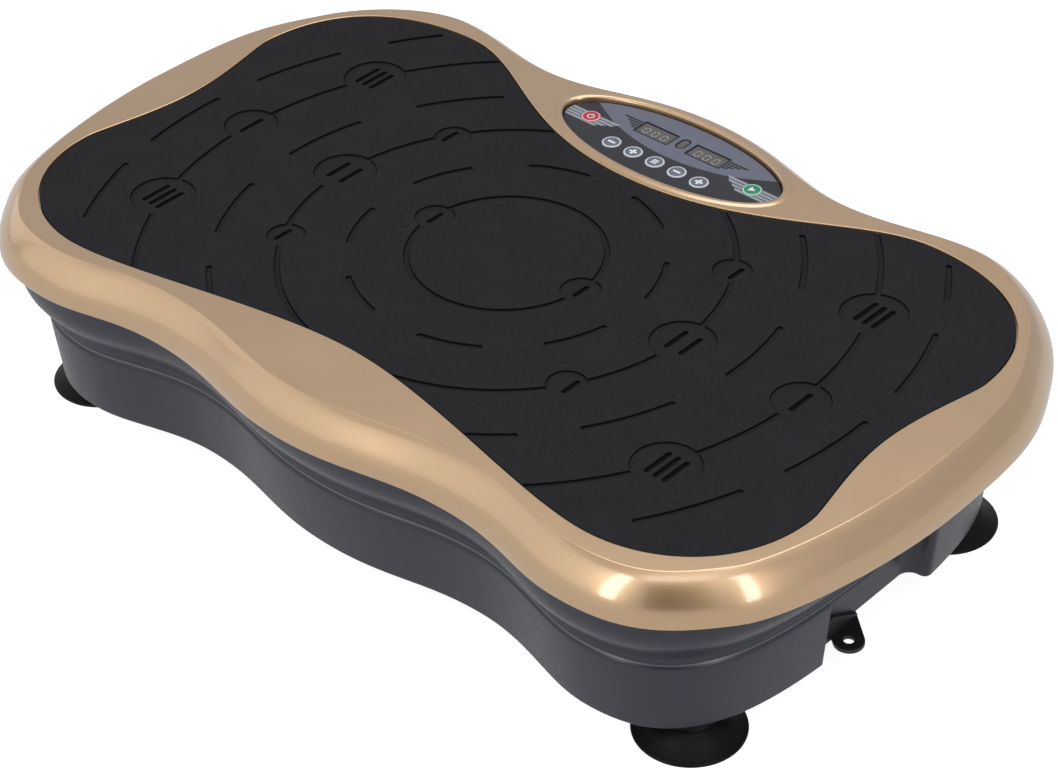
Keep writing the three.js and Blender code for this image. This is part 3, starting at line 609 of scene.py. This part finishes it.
def disc_bar(x, y, length, inset):
    """The outline of a straight bar along Y, with round ends."""
    half = BAR_HALF - inset
    reach = (length - 2 * inset) / 2 - half
    return arc(x, y + reach, half, 0, 180, 8) + arc(x, y - reach, half, 180, 360, 8)


def groove_shapes():
    """Each recess as (its outline at an inset, the depth round it, its own depth)."""
    shapes = [(partial(groove, *ends), 0.0, GROOVE_DEPTH) for ends in groove_arcs()]
    for x, y, r, bars, length in DISCS:
        for side in (1, -1):
            shapes.append((partial(disc, side * x, y, r), 0.0, DISC_DEPTH))
            for bar_x in bars:
                shapes.append((partial(disc_bar, side * bar_x, y, length), DISC_DEPTH, GROOVE_DEPTH))
    return shapes


MAT_EDGE = 0.9  # from the mat's outline to the flat part of its top
# How much of its depth a groove has at each distance inside its edge.
WALL_STEPS = [(0.0, 0.0), (0.15, 0.1), (0.3, 0.85), (0.45, 1.0)]


def mat_top():
    """The mat's top as flat triangles between the grooves' edges, each set at its own depth."""
    border = offset(mat_outline, -MAT_EDGE)
    points = [Vector(p) for p in border]
    edges, levels = [], []
    for shape, above, deep in groove_shapes():
        for inset, part in WALL_STEPS:
            ring = shape(inset)
            first = len(points)
            points += [Vector(p) for p in ring]
            edges += [(first + i, first + (i + 1) % len(ring)) for i in range(len(ring))]
            levels.append((ring, above + deep * part))
    out_points, _, triangles, _, _, owners = delaunay_2d_cdt(
        points, edges, [list(range(len(border)))], 1, 1e-5)
    depths = depth_at(out_points, levels)
    faces = [list(t) for t, owner in zip(triangles, owners) if len(owner)]
    used = sorted({v for face in faces for v in face})
    numbers = {v: i for i, v in enumerate(used)}
    skin = Skin()
    skin.verts = [(out_points[v].x, out_points[v].y, MAT_TOP - depths[v]) for v in used]
    for face in faces:
        around = [depths[v] for v in face]
        # Sloping faces and the bars' floors take the darker rubber as painted shade.
        if max(around) > GROOVE_DEPTH or max(around) > min(around):  # a groove's wall, or a bar in a disc
            skin.inks[len(skin.faces)] = 1
        skin.faces.append([numbers[v] for v in face])
    return skin


def depth_at(points, levels):
    """The deepest level whose outline holds or touches each point."""
    bounds, slack = [], 0.01
    for ring, depth in levels:
        xs, ys = [p[0] for p in ring], [p[1] for p in ring]
        box = (min(xs) - slack, max(xs) + slack, min(ys) - slack, max(ys) + slack)
        bounds.append((*box, ring, depth))
    depths = []
    for p in points:
        deepest = 0.0
        for x0, x1, y0, y1, ring, depth in bounds:
            if depth <= deepest or not (x0 <= p.x <= x1 and y0 <= p.y <= y1):
                continue
            if on_ring(p, ring) or inside((p.x, p.y), ring):
                deepest = depth
        depths.append(deepest)
    return depths


def on_ring(p, ring):
    """Whether a point lies on a closed polygon's edge."""
    near = 2e-3
    for (ax, ay), (bx, by) in zip(ring, ring[1:] + ring[:1]):
        dx, dy = bx - ax, by - ay
        t = ((p.x - ax) * dx + (p.y - ay) * dy) / max(dx * dx + dy * dy, 1e-12)
        t = min(1.0, max(0.0, t))
        if abs(ax + t * dx - p.x) < near and abs(ay + t * dy - p.y) < near:
            return True
    return False


def open_rim(faces):
    """The vertices round the open edge of a patch of faces, in order."""
    edges = [edge for face in faces for edge in zip(face, face[1:] + face[:1])]
    known = set(edges)
    onward = {a: b for a, b in edges if (b, a) not in known}
    rim = [next(iter(onward))]
    while onward[rim[-1]] != rim[0]:
        rim.append(onward[rim[-1]])
    return rim


def standing_mat():
    """The grooved mat with its rounded edge, standing a little above the recess's floor."""
    skin = mat_top()
    rim = open_rim(skin.faces)
    flat = [skin.verts[v][:2] for v in rim]
    previous = rim
    for distance, drop in [(0.25, 0.08), (0.5, 0.35), (0.6, 0.8)]:
        loop = list(range(len(skin.verts), len(skin.verts) + len(rim)))
        skin.verts += [(x, y, skin.verts[v][2] - drop) for (x, y), v in zip(offset(flat, distance), rim)]
        skin.strip(previous, loop)
        previous = loop
    bottom = skin.loop([skin.verts[v][:2] for v in previous], MAT_FLOOR + 0.3)
    skin.strip(previous, bottom)
    skin.faces.append(list(reversed(bottom)))
    make("ribbed_mat", skin, [MAT, MAT_GROOVE_SHADE], "deck", ["standing_mat"], sharp=28)


# ---- base ----
def base_half(distance):
    """The right half of the base's outline, moved outwards by a distance."""
    half = half_outline(BASE_NODES, BASE_CENTRE_Y)
    return offset(mirrored(half), distance)[:len(half)]


def crossing(points, y):
    """Where a rising half outline passes a height y: the index after it, and the point."""
    for i, (a, b) in enumerate(zip(points, points[1:])):
        if a[1] <= y < b[1]:
            t = (y - a[1]) / (b[1] - a[1])
            return i + 1, (a[0] + (b[0] - a[0]) * t, y)
    raise ValueError("the outline never reaches that height")


ARM_STEPS = 70
CORNER_STEPS = 8
FILLET_STEPS = 12
GRIP_WALL_STEPS = 16
GRIP_STEPS = 2 * (CORNER_STEPS + FILLET_STEPS) + GRIP_WALL_STEPS + 2
FRONT_ROUND, BACK_ROUND = 1.5, 5.0  # outer corners of a hand grip


def base_loop(distance, margin=None):
    """One level of the base's wall: two arms, and between them the end or its hand grip.

    The margin is the thickness left round the grip; without one the loop has no grip.
    """
    half = base_half(distance)
    reach = NOTCH_HALF + (margin or 0.0)
    low, high = BASE_CENTRE_Y - reach, BASE_CENTRE_Y + reach
    _, front = crossing(half, low)
    _, back = crossing(half, high)
    i, start = crossing(half, low - FRONT_ROUND)
    j, stop = crossing(half, high + BACK_ROUND)
    front_arm = resample(half[:i] + [start], ARM_STEPS)
    back_arm = resample([stop] + half[j:], ARM_STEPS)
    if margin is None:
        grip = resample([start] + half[i:j] + [stop], GRIP_STEPS)
        return mirrored(front_arm + grip[1:-1] + back_arm)
    wall = NOTCH_X - margin
    front_fillet = min(NOTCH_FILLET, front[0] - FRONT_ROUND - wall)
    back_fillet = min(NOTCH_FILLET, back[0] - BACK_ROUND - wall)
    inner = [(wall, low + front_fillet), (wall, high - back_fillet)]
    grip = rounded_corner(start, front, (front[0] - FRONT_ROUND, low), CORNER_STEPS)
    grip += arc(wall + front_fillet, low + front_fillet, front_fillet, 270, 180, FILLET_STEPS)
    grip += resample(inner, GRIP_WALL_STEPS)[1:-1]
    grip += arc(wall + back_fillet, high - back_fillet, back_fillet, 180, 90, FILLET_STEPS)
    grip += rounded_corner((back[0] - BACK_ROUND, high), back, stop, CORNER_STEPS)
    return mirrored(front_arm + grip[1:-1] + back_arm)


def base_housing():
    """The base: a notched lower wall up to the ledge, and above it a waist and a flared band."""
    skin = Skin()
    lower = [(BASE_BOTTOM, -1.2), (BASE_BOTTOM + 0.25, -0.6), (BASE_BOTTOM + 0.8, -0.1),
             (BASE_BOTTOM + 1.7, 0.15), (40, 1.8), (55, 3.2), (66, 4.1), (68.6, 4.2), (69.3, 4.05),
             (NOTCH_TOP, 3.7)]
    upper = [(NOTCH_TOP, 3.7), (70.8, 3.25), (71.7, 2.65), (72.5, 2.4), (74, 2.5), (76.5, 3.2), (80, 5.0),
             (84, 7.9), (88, 11.2), (92, 14.3), (96, 16.6), (101, 18.2), (108, 19.0), (130, 19.0)]
    floor, under = skin.skinned([(base_loop(d, 0.0), z) for z, d in lower])
    first = len(skin.faces)
    over, rim = skin.skinned([(base_loop(d), z) for z, d in upper])
    skin.inks.update({first + len(over) + k: 1 for k in range(len(over))})  # the ledge's rounded edge, a painted highlight
    inside_wall = [(130, 16.0), (104, 15.2), (94, 12.0), (84, 4.4), (LEDGE + 3, -0.8), (LEDGE - 5, 0.6),
                   (BASE_BOTTOM + BASE_WALL, -BASE_WALL)]
    inner, ceiling = skin.skinned([(base_loop(d, BASE_WALL), z) for z, d in inside_wall])
    skin.strip(rim, inner)
    for side in (1, -1):
        skin.faces += grip_roof(skin, under, over, side)
    skin.cap(ceiling)
    skin.cap(floor)
    make("base_shell", skin, [GREY_PLASTIC, GREY_PAINTED_HIGHLIGHT], "base", ["base_housing"])


def grip_roof(skin, under, over, side):
    """The flat roof of a hand grip, between its notched outline and the full one."""
    count = ARM_STEPS * 2 + GRIP_STEPS
    first, last = ARM_STEPS, ARM_STEPS + GRIP_STEPS
    picked = list(range(first, last + 1))
    if side < 0:
        picked = [(2 * count - k) % (2 * count) for k in picked]
    ring = [over[k] for k in picked] + [under[k] for k in reversed(picked[1:-1])]
    flat = [Vector(skin.verts[n][:2]) for n in ring]
    _, _, triangles, origin, _, owners = delaunay_2d_cdt(flat, [], [list(range(len(flat)))], 1, 1e-7)
    return [[ring[origin[v][0]] for v in t] for t, owner in zip(triangles, owners) if len(owner)]


# ---- control panel ----
FILM_INSET = 0.7  # from the panel's opening to the film's edge
FILM_BOTTOM = PANEL_TOP - 2.8
WINDOW_BOTTOM = PANEL_TOP - 3.4
HOLE_GAP = 0.3  # round each key and window
KEY_TOP = PANEL_TOP + 0.4
KEY_R = 6.5
KEY_RING = 1.25  # width of the light ring round a key's top
WINDOW_X, WINDOW_Y = 21.75, 166.8
WINDOW_WIDTH, WINDOW_DEPTH = 28.5, 13.7
LENS_Y, LENS_WIDTH, LENS_DEPTH = 168.0, 7.0, 12.0
WINDOW_FRAME, LENS_FRAME = 1.35, 1.15  # widths of the dark frames printed on the glass
CRESCENT_Y, CRESCENT_HALF, CRESCENT_RISE = 149.2, 46, 8.0  # the lower arc of the light area
CRESCENT_NOTCHES = ((-54.0, 160.2), (54.0, 160.6))
CRESCENT_TIPS = (171.5, 172.5)  # where its ends meet the film's edge, left and right
WING_Y, WING_PITCH, WING_HALF = 157.6, 3.05, 1.15  # the first wing's middle, half a width
WING_TIPS = (45.5, 48.0, 53.0, 57.5)
VANE_Y, VANE_PITCH, VANE_WIDTH = 171.8, 2.55, 1.75  # the first vane's upper edge
VANE_TIPS = (53.0, 48.5, 44.5, 41.5)
SLANT = 2.2  # of the wings' and vanes' tips
BLUE, STRIPE, VANE = 1, 2, 3  # the film's inks, by material number


def panel_edge(y, inset=0.8):
    """Half the width of the panel film at a height y, less an inset."""
    rise = (y - PANEL_Y) / (PANEL_B - FILM_INSET)
    return (PANEL_A - FILM_INSET) * math.sqrt(max(0.0, 1 - rise * rise)) - inset


def crescent():
    """The light upper area: the film's edge above, a shallow arc between two notches below."""
    across = range(CRESCENT_HALF, -CRESCENT_HALF - 1, -4)
    bottom = [(x, CRESCENT_Y + (x / CRESCENT_HALF) ** 2 * CRESCENT_RISE) for x in across]
    left_y, right_y = CRESCENT_TIPS
    left = [CRESCENT_NOTCHES[0], (-panel_edge(left_y), left_y)]
    right = [(panel_edge(right_y), right_y), CRESCENT_NOTCHES[1]]
    margin, steps = 1.5, 60
    a, b = PANEL_A - margin, PANEL_B - margin
    start = math.degrees(math.asin((left_y - PANEL_Y) / b))
    end = math.degrees(math.asin((right_y - PANEL_Y) / b))
    angles = [math.radians(180 - start - (180 - start - end) * k / steps) for k in range(1, steps)]
    top = [(a * math.cos(t), PANEL_Y + b * math.sin(t)) for t in angles]
    return bottom + left + top + right


def wing(side, k):
    """One light stripe from near the film's edge inwards, behind a round key."""
    middle = WING_Y - k * WING_PITCH
    low, high = middle - WING_HALF, middle + WING_HALF
    tip = WING_TIPS[k]
    points = [(panel_edge(low), low), (panel_edge(high), high), (tip, high), (tip + SLANT, low)]
    return [(side * x, y) for x, y in points]


def vane(side, k):
    """One dark stripe outside a display window."""
    high = VANE_Y - k * VANE_PITCH
    low = high - VANE_WIDTH
    root = WINDOW_X + WINDOW_WIDTH / 2 + 0.6
    tip = VANE_TIPS[k]
    return [(side * x, y) for x, y in [(root, low), (root, high), (tip, high), (tip - SLANT, low)]]


def window(side, margin=0.0):
    """A display window's outline."""
    x, y, w, d = side * WINDOW_X, WINDOW_Y, WINDOW_WIDTH / 2 + margin, WINDOW_DEPTH / 2 + margin
    return rounded_rectangle(x - w, x + w, y - d, y + d, 0.8)


def lens_outline(margin=0.0):
    r = LENS_WIDTH / 2 + margin
    reach = (LENS_DEPTH - LENS_WIDTH) / 2
    return arc(0, LENS_Y + reach, r, 0, 180, 16) + arc(0, LENS_Y - reach, r, 180, 360, 16)


def key_places():
    """Where the keys are in the frame, in millimetres about the ring centre."""
    places = {}
    for key in SYMBOLS:
        centre = node_centre("key_" + key)
        places[key] = (centre.x / MM, centre.y / MM - RING_Y)
    return places


def panel_film():
    """The printed oval film, with a hole for each key, window and the lens."""
    skin = Skin()
    section = [(FILM_BOTTOM, -FILM_INSET), (PANEL_TOP - 0.35, -FILM_INSET), (PANEL_TOP, -1.0)]
    edge = ellipse(PANEL_A, PANEL_B, 0, PANEL_Y)
    bottom, top = skin.skinned([(offset(edge, d), z) for z, d in section])
    hole_r = KEY_R + HOLE_GAP
    cuts = [ellipse(hole_r, hole_r, x, y, 48) for x, y in key_places().values()]
    cuts += [window(1, HOLE_GAP), window(-1, HOLE_GAP), lens_outline(HOLE_GAP)]
    ends = [skin.skinned([(hole, z) for z in (FILM_BOTTOM, PANEL_TOP)]) for hole in cuts]
    prints = [(crescent(), BLUE)]
    prints += [(wing(side, k), STRIPE) for side in (1, -1) for k in range(4)]
    prints += [(vane(side, k), VANE) for side in (1, -1) for k in range(4)]
    skin.cap(bottom, [e[0] for e in ends])
    skin.cap(top, [e[1] for e in ends], prints)
    make("panel_film", skin, [FILM_DARK, FILM_BLUE, FILM_STRIPE, FILM_BLACK], "deck",
         ["panel_plate"])


def bar(x, y, length, width, degrees=0.0):
    """A round-ended bar about (x, y)."""
    reach, r = (length - width) / 2, width / 2
    points = arc(reach, 0, r, -90, 90, 6) + arc(-reach, 0, r, 90, 270, 6)
    c, s = math.cos(math.radians(degrees)), math.sin(math.radians(degrees))
    return [(x + px * c - py * s, y + px * s + py * c) for px, py in points]


def open_ring(radius, width, start, end):
    """A ring's outline with a gap in it."""
    outer = arc(0, 0, radius + width / 2, start, end, 24)
    return outer + arc(0, 0, radius - width / 2, end, start, 24)


MINUS = [bar(0, 0, 6.2, 1.9)]
PLUS = [*MINUS, bar(0, 0, 6.2, 1.9, 90)]
SYMBOLS = {
    "time_minus": MINUS,
    "time_plus": PLUS,
    "program": [bar(0, 1.7, 4.6, 1.1), bar(0, 0, 4.6, 1.1), bar(0, -1.7, 4.6, 1.1)],
    "speed_minus": MINUS,
    "speed_plus": PLUS,
    "power": [open_ring(2.3, 0.8, 125, 415), bar(0, 1.9, 3.0, 0.9, 90)],
    "start": [[(-1.9, -2.5), (2.7, 0), (-1.9, 2.5)]],
}
# A key's ring, face and material slot, where they differ from the grey keys'.
KEY_FINISHES = {"power": (KEY_PINK, KEY_RED, "key_red"), "start": (KEY_MINT, KEY_GREEN, "key_green")}


def panel_key(key, x, y):
    """A cap with a rounded edge, and a light ring and a symbol printed on it."""
    skin = Skin()
    section = [(KEY_TOP - 3.0, KEY_R), (KEY_TOP - 0.45, KEY_R), (KEY_TOP - 0.15, KEY_R - 0.12),
               (KEY_TOP, KEY_R - 0.45)]
    bottom, top = skin.skinned([(ellipse(r, r, steps=64), z) for z, r in section])
    face_r = KEY_R - KEY_RING
    prints = [(ellipse(face_r, face_r, steps=64), 1)]
    prints += [(symbol, 2) for symbol in SYMBOLS[key]]
    skin.cap(bottom)
    skin.cap(top, prints=prints)
    ring, face, slot = KEY_FINISHES.get(key, (KEY_LIGHT, KEY_GREY, "key_grey"))
    name = "key_" + key
    make(name + "_cap", skin, [ring, face, FILM_WHITE], name, [name], transform=about_ring(x, y))


# The segments of a nought: place in half widths and half heights of the digit, and angle.
NOUGHT = [(0, 1, 0), (0, -1, 0), (-1, 0.5, 90), (1, 0.5, 90), (-1, -0.5, 90), (1, -0.5, 90)]
DIGIT_PLACES = (-7.2, 0.2, 7.6)  # of the three digits, from the window's middle


def digit(x, y, width=3.6, height=6.4):
    """The lit segments of a nought on a seven-segment display."""
    shapes, gap, thickness = [], 0.9, 0.7
    for across, up, degrees in NOUGHT:
        length = (width if degrees == 0 else height / 2) - gap
        shapes.append(bar(x + across * width / 2, y + up * height / 2, length, thickness, degrees))
    return shapes


def display(name, side):
    """A smoked window in a dark frame, with three faint digits."""
    skin = Skin()
    top_z = PANEL_TOP - 0.3
    bottom, top = skin.skinned([(window(side), WINDOW_BOTTOM), (window(side), top_z - 0.25),
                                (window(side, -0.25), top_z)])
    digit_y = WINDOW_Y - 1.3
    glass = [(window(side, -WINDOW_FRAME), 1)]
    digits = [(shape, 2) for place in DIGIT_PLACES for shape in digit(side * WINDOW_X + place, digit_y)]
    skin.cap(bottom)
    skin.cap(top, prints=glass + digits)
    make(name + "_window", skin, [FILM_FRAME, GLASS, SEGMENT], "deck", [name])


def receiver_lens():
    """The remote control's oval receiver window in a dark frame."""
    skin = Skin()
    top_z = PANEL_TOP - 0.2
    sections = [(0.0, WINDOW_BOTTOM), (0.0, top_z - 0.3), (-0.3, top_z)]
    bottom, top = skin.skinned([(lens_outline(d), z) for d, z in sections])
    skin.cap(bottom)
    skin.cap(top, prints=[(lens_outline(-LENS_FRAME), 1)])
    make("lens_window", skin, [FILM_FRAME, GLASS], "deck", ["receiver_lens"])


# ---- feet, band brackets and underside ----
CORNERS = ("front_left", "front_right", "back_left", "back_right")


def suction_foot(corner):
    """A rubber cup under a stepped collar, hollow where it grips the floor."""
    node = "suction_foot_" + corner
    centre = node_centre(node)
    bore_r, top = 4.4, 20.2
    outside = [(FOOT_R - 0.2, 0.0), (FOOT_R, 0.7), (FOOT_R - 0.3, 1.5), (31.2, 2.9), (27.5, 5.4),
               (23.5, 8.6), (18.6, 12.1), (17.2, 12.9), (16.9, 14.6), (16.2, 15.2), (14.1, 15.5),
               (13.6, 16.2), (13.5, top), (bore_r, top)]
    hollow = [(0.0, 5.5), (14.0, 4.5), (24.0, 2.4), (30.5, 0.5), (32.4, 0.0)]
    bore = [(bore_r, 9.0), (0.0, 9.0)]
    skin = lathe(hollow + rounded(outside, 0.8) + bore, 96)
    place = Matrix.Translation((centre.x, centre.y, 0))
    make("rubber_foot_" + corner, skin, [FOOT_RUBBER], "base", [node], 40, place)


EYELET_X, EYELET_Y, EYELET_TURN = 290.4, -26.3, -40.0
TAB_HALF, TAB_REACH, EYE_R = 9.5, 46.0, 3.3
TAB_TOP, TAB_BOTTOM = BASE_BOTTOM - 0.3, BASE_BOTTOM - 3.3
UPSTAND_FACE, UPSTAND_THICKNESS = NOTCH_X + 0.3, 2.5
UPSTAND_FRONT, UPSTAND_BACK, UPSTAND_TOP = -40, -6, 34


def band_bracket(side_name, side):
    """A steel tab with an eyelet, and its upstand against the wall of the hand grip."""
    tip = arc(0, 0, TAB_HALF, -90, 90, 20)
    root_r = 4
    root = arc(root_r - TAB_REACH, TAB_HALF - root_r, root_r, 90, 180, 6)
    root += arc(root_r - TAB_REACH, root_r - TAB_HALF, root_r, 180, 270, 6)
    turn = Matrix.Rotation(math.radians(EYELET_TURN), 2)

    def placed(x, y, z):
        moved = turn @ Vector((x, y))
        return side * (moved.x + EYELET_X), moved.y + EYELET_Y, z

    tab = slab(tip + root, [ellipse(EYE_R, EYE_R, steps=32)], TAB_BOTTOM, TAB_TOP, 0.5).moved(placed)
    sheet = [(UPSTAND_FRONT, TAB_BOTTOM), (UPSTAND_BACK, TAB_BOTTOM), (UPSTAND_BACK, TAB_TOP + 1),
             (UPSTAND_FRONT + 10, UPSTAND_TOP), (UPSTAND_FRONT, UPSTAND_TOP)]
    upstand = slab(densified(sheet), [], 0, UPSTAND_THICKNESS, 0.4)
    upstand.moved(lambda y, z, depth: (side * (UPSTAND_FACE + depth), y, z))
    make("eyelet_tab_" + side_name, tab.add(upstand), [POWDER_COAT], "base",
         ["band_bracket_" + side_name])


def densified(corners, step=1.5):
    """A polygon with points added along its edges, so that an offset keeps its corners."""
    out = []
    for a, b in zip(corners, corners[1:] + corners[:1]):
        count = max(2, int(math.dist(a, b) / step))
        out += [(a[0] + (b[0] - a[0]) * k / count, a[1] + (b[1] - a[1]) * k / count) for k in range(count)]
    return out


SCREWS = [(x, y) for x in (-200, -95, 95, 200) for y in (-108, 100)] + [(-40, -90), (40, 85)]


def underside_screws():
    """Pan-head screws that close the floor of the base."""
    head = [(0.0, 0.4), (3.4, 0.4), (4.2, 0.75), (4.5, 1.5), (4.5, 3.2), (0.0, 3.2)]
    skin = Skin()
    for x, y in SCREWS:
        skin.add(lathe(rounded(head, 0.3), 40).shifted(x, y, BASE_BOTTOM - 2.4))
        # Each head's cross is a thin black plate on its face, painted shade in place of a cut recess.
        for turn in (45, 135):
            slot = slab(bar(0, 0, 5.0, 1.1, turn), [], 0, 0.25, 0.05).inked(1)
            skin.add(slot.shifted(x, y, BASE_BOTTOM - 2.15))
    make("floor_screws", skin, [STEEL, POWDER_COAT], "base")


# ---- materials of the CAD nodes that stay ----
def dress_nodes():
    """A finish for each carried-over CAD node."""
    finishes = {
        "deck_frame": POWDER_COAT, "pivot_shaft": GROUND_STEEL, "rod_pin": GROUND_STEEL,
        "panel_tray": BLACK_PLASTIC, "display_board": BOARD_GREEN, "chassis_plate": STEEL,
        "stop_buffer": FOOT_RUBBER, "foot_stud": STEEL, "pivot_block": POWDER_COAT, "pivot_bush": BRONZE,
        "shaft_block": ALUMINIUM, "shaft_bearing": STEEL, "crank_shaft": GROUND_STEEL,
        "eccentric_disc": STEEL, "driven_pulley": ALUMINIUM, "connecting_rod": ALUMINIUM,
        "rod_bearing": STEEL, "motor_housing": POWDER_COAT, "motor_rotor": STEEL,
        "motor_bracket": STEEL, "motor_pulley": ALUMINIUM, "drive_belt": BELT_RUBBER,
        "control_board": BOARD_GREEN, "power_plate": BLACK_PLASTIC, "power_inlet": BLACK_PLASTIC,
        "switch_frame": BLACK_PLASTIC, "power_rocker": ROCKER_RED, "fuse_holder": BLACK_PLASTIC,
    }
    for node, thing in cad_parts.items():
        for start, material in finishes.items():
            if node.startswith(start):
                for material_slot in thing.material_slots:
                    material_slot.material = material


# ---- camera, floor and light ----
CAMERA_TARGET = Vector((0.1040, -0.1010, 0.149))
CAMERA_DISTANCE = 1.6499
AZIMUTH, ELEVATION, ROLL = (math.radians(angle) for angle in (43.491, 37.039, -1.592))
SENSOR_WIDTH, FOCAL_LENGTH = 36.0, 97.74
SKY, SKY_STRENGTH = (0.93, 0.95, 1.0), 0.54
WHITE = (1.0, 1.0, 1.0)
WARM = (1.0, 0.98, 0.90)
# Area lights: place, the point faced, width, height, power and colour.
LIGHTS = {
    "key_left": ((-1.45, -2.05, 1.35), (0.1, -0.1, 0.1), 2.3, 2.6, 9.5, WARM),
    "far_left": ((-2.5, -0.3, 1.15), (0, 0, 0.1), 1.6, 2.0, 5, (1.0, 0.97, 0.90)),
    "edge_left": ((0.05, -2.3, 1.35), (0.25, -0.1, 0.1), 0.5, 2.3, 17, WHITE),
    "key_right": ((2.35, -0.55, 1.35), (0.2, 0, 0.1), 0.55, 2.3, 17, WHITE),
    "front_top": ((1.0, -1.1, 2.6), (0, 0, 0), 1.4, 0.7, 5, WHITE),
    "top": ((0.0, 0.6, 2.6), (0, 0, 0), 2.4, 1.8, 30, WHITE),
}


def camera():
    back = Vector((math.sin(AZIMUTH) * math.cos(ELEVATION), -math.cos(AZIMUTH) * math.cos(ELEVATION),
                   math.sin(ELEVATION)))
    data = bpy.data.cameras.new("camera")
    data.sensor_width = SENSOR_WIDTH
    data.lens = FOCAL_LENGTH
    eye = bpy.data.objects.new("camera", data)
    right = (-back).cross(Vector((0, 0, 1))).normalized()
    up = back.cross(right)
    x_axis = math.cos(ROLL) * right + math.sin(ROLL) * up
    y_axis = back.cross(x_axis)
    turn = Matrix((x_axis, y_axis, back)).transposed().to_4x4()
    eye.matrix_world = Matrix.Translation(CAMERA_TARGET + back * CAMERA_DISTANCE) @ turn
    bpy.context.scene.collection.objects.link(eye)
    bpy.context.scene.camera = eye


def stage_sheet(name, corners, material):
    """A four-cornered sheet of the studio, which isn't part of the object."""
    mesh = bpy.data.meshes.new(name)
    mesh.from_pydata(corners, [], [(0, 1, 2, 3)])
    mesh.materials.append(material)
    sheet = bpy.data.objects.new(name, mesh)
    bpy.context.scene.collection.objects.link(sheet)
    return sheet


def level_square(reach, z):
    return [(-reach, -reach, z), (reach, -reach, z), (reach, reach, z), (-reach, reach, z)]


def glowing(name, grey, strength):
    """A grey that also gives off white light."""
    nodes = Nodes(name, (grey, grey, grey), 0.9, Emission_Strength=strength)
    nodes.shader.inputs["Emission Color"].default_value = (*WHITE, 1)
    return nodes.material


def show_in_gloss_only(sheet):
    sheet.visible_camera = sheet.visible_diffuse = sheet.visible_shadow = False


def floor():
    """The bright floor. The gloss doesn't see it, but the dim studio behind it."""
    ground = stage_sheet("floor", level_square(6.0, 0.0), glowing("floor", 0.45, 0.86))
    ground.visible_glossy = False


def flag():
    """A dark card beside the camera that models the nearest corner."""
    half, low, high = 0.42, 0.20, 1.60
    corners = [(-half, 0, low), (half, 0, low), (half, 0, high), (-half, 0, high)]
    card = stage_sheet("flag", corners, Nodes("flag_cloth", (0.01, 0.01, 0.01), 0.9).material)
    card.location = (1.03, -1.08, 0)
    card.rotation_euler = (0, 0, math.radians(43.5))
    show_in_gloss_only(card)


def bounce():
    """A dim sheet under the floor that lights the deck's lower edge."""
    show_in_gloss_only(stage_sheet("bounce", level_square(4.0, -0.05), glowing("bounce_sheet", 0.0, 0.66)))


def area_light(name, position, target, width, height, power, color):
    data = bpy.data.lights.new(name, "AREA")
    data.shape = "RECTANGLE"
    data.size, data.size_y = width, height
    data.energy = power
    data.color = color
    lamp = bpy.data.objects.new(name, data)
    lamp.location = position
    lamp.rotation_mode = "QUATERNION"
    lamp.rotation_quaternion = (Vector(target) - Vector(position)).to_track_quat("-Z", "Y")
    bpy.context.scene.collection.objects.link(lamp)


def light():
    world = bpy.data.worlds.new("studio")
    bpy.context.scene.world = world
    world.use_nodes = True
    background = world.node_tree.nodes["Background"]
    background.inputs["Color"].default_value = (*SKY, 1.0)
    background.inputs["Strength"].default_value = SKY_STRENGTH
    for name, settings in LIGHTS.items():
        area_light(name, *settings)
    flag()
    bounce()
    bpy.context.scene.view_settings.view_transform = "Standard"


# ---- the object ----
top_cover()
standing_mat()
base_housing()
panel_film()
for key, (key_x, key_y) in key_places().items():
    panel_key(key, key_x, key_y)
display("time_display", -1)
display("speed_display", 1)
receiver_lens()
for corner in CORNERS:
    suction_foot(corner)
band_bracket("right", 1)
band_bracket("left", -1)
underside_screws()
dress_nodes()

camera()
floor()
light()
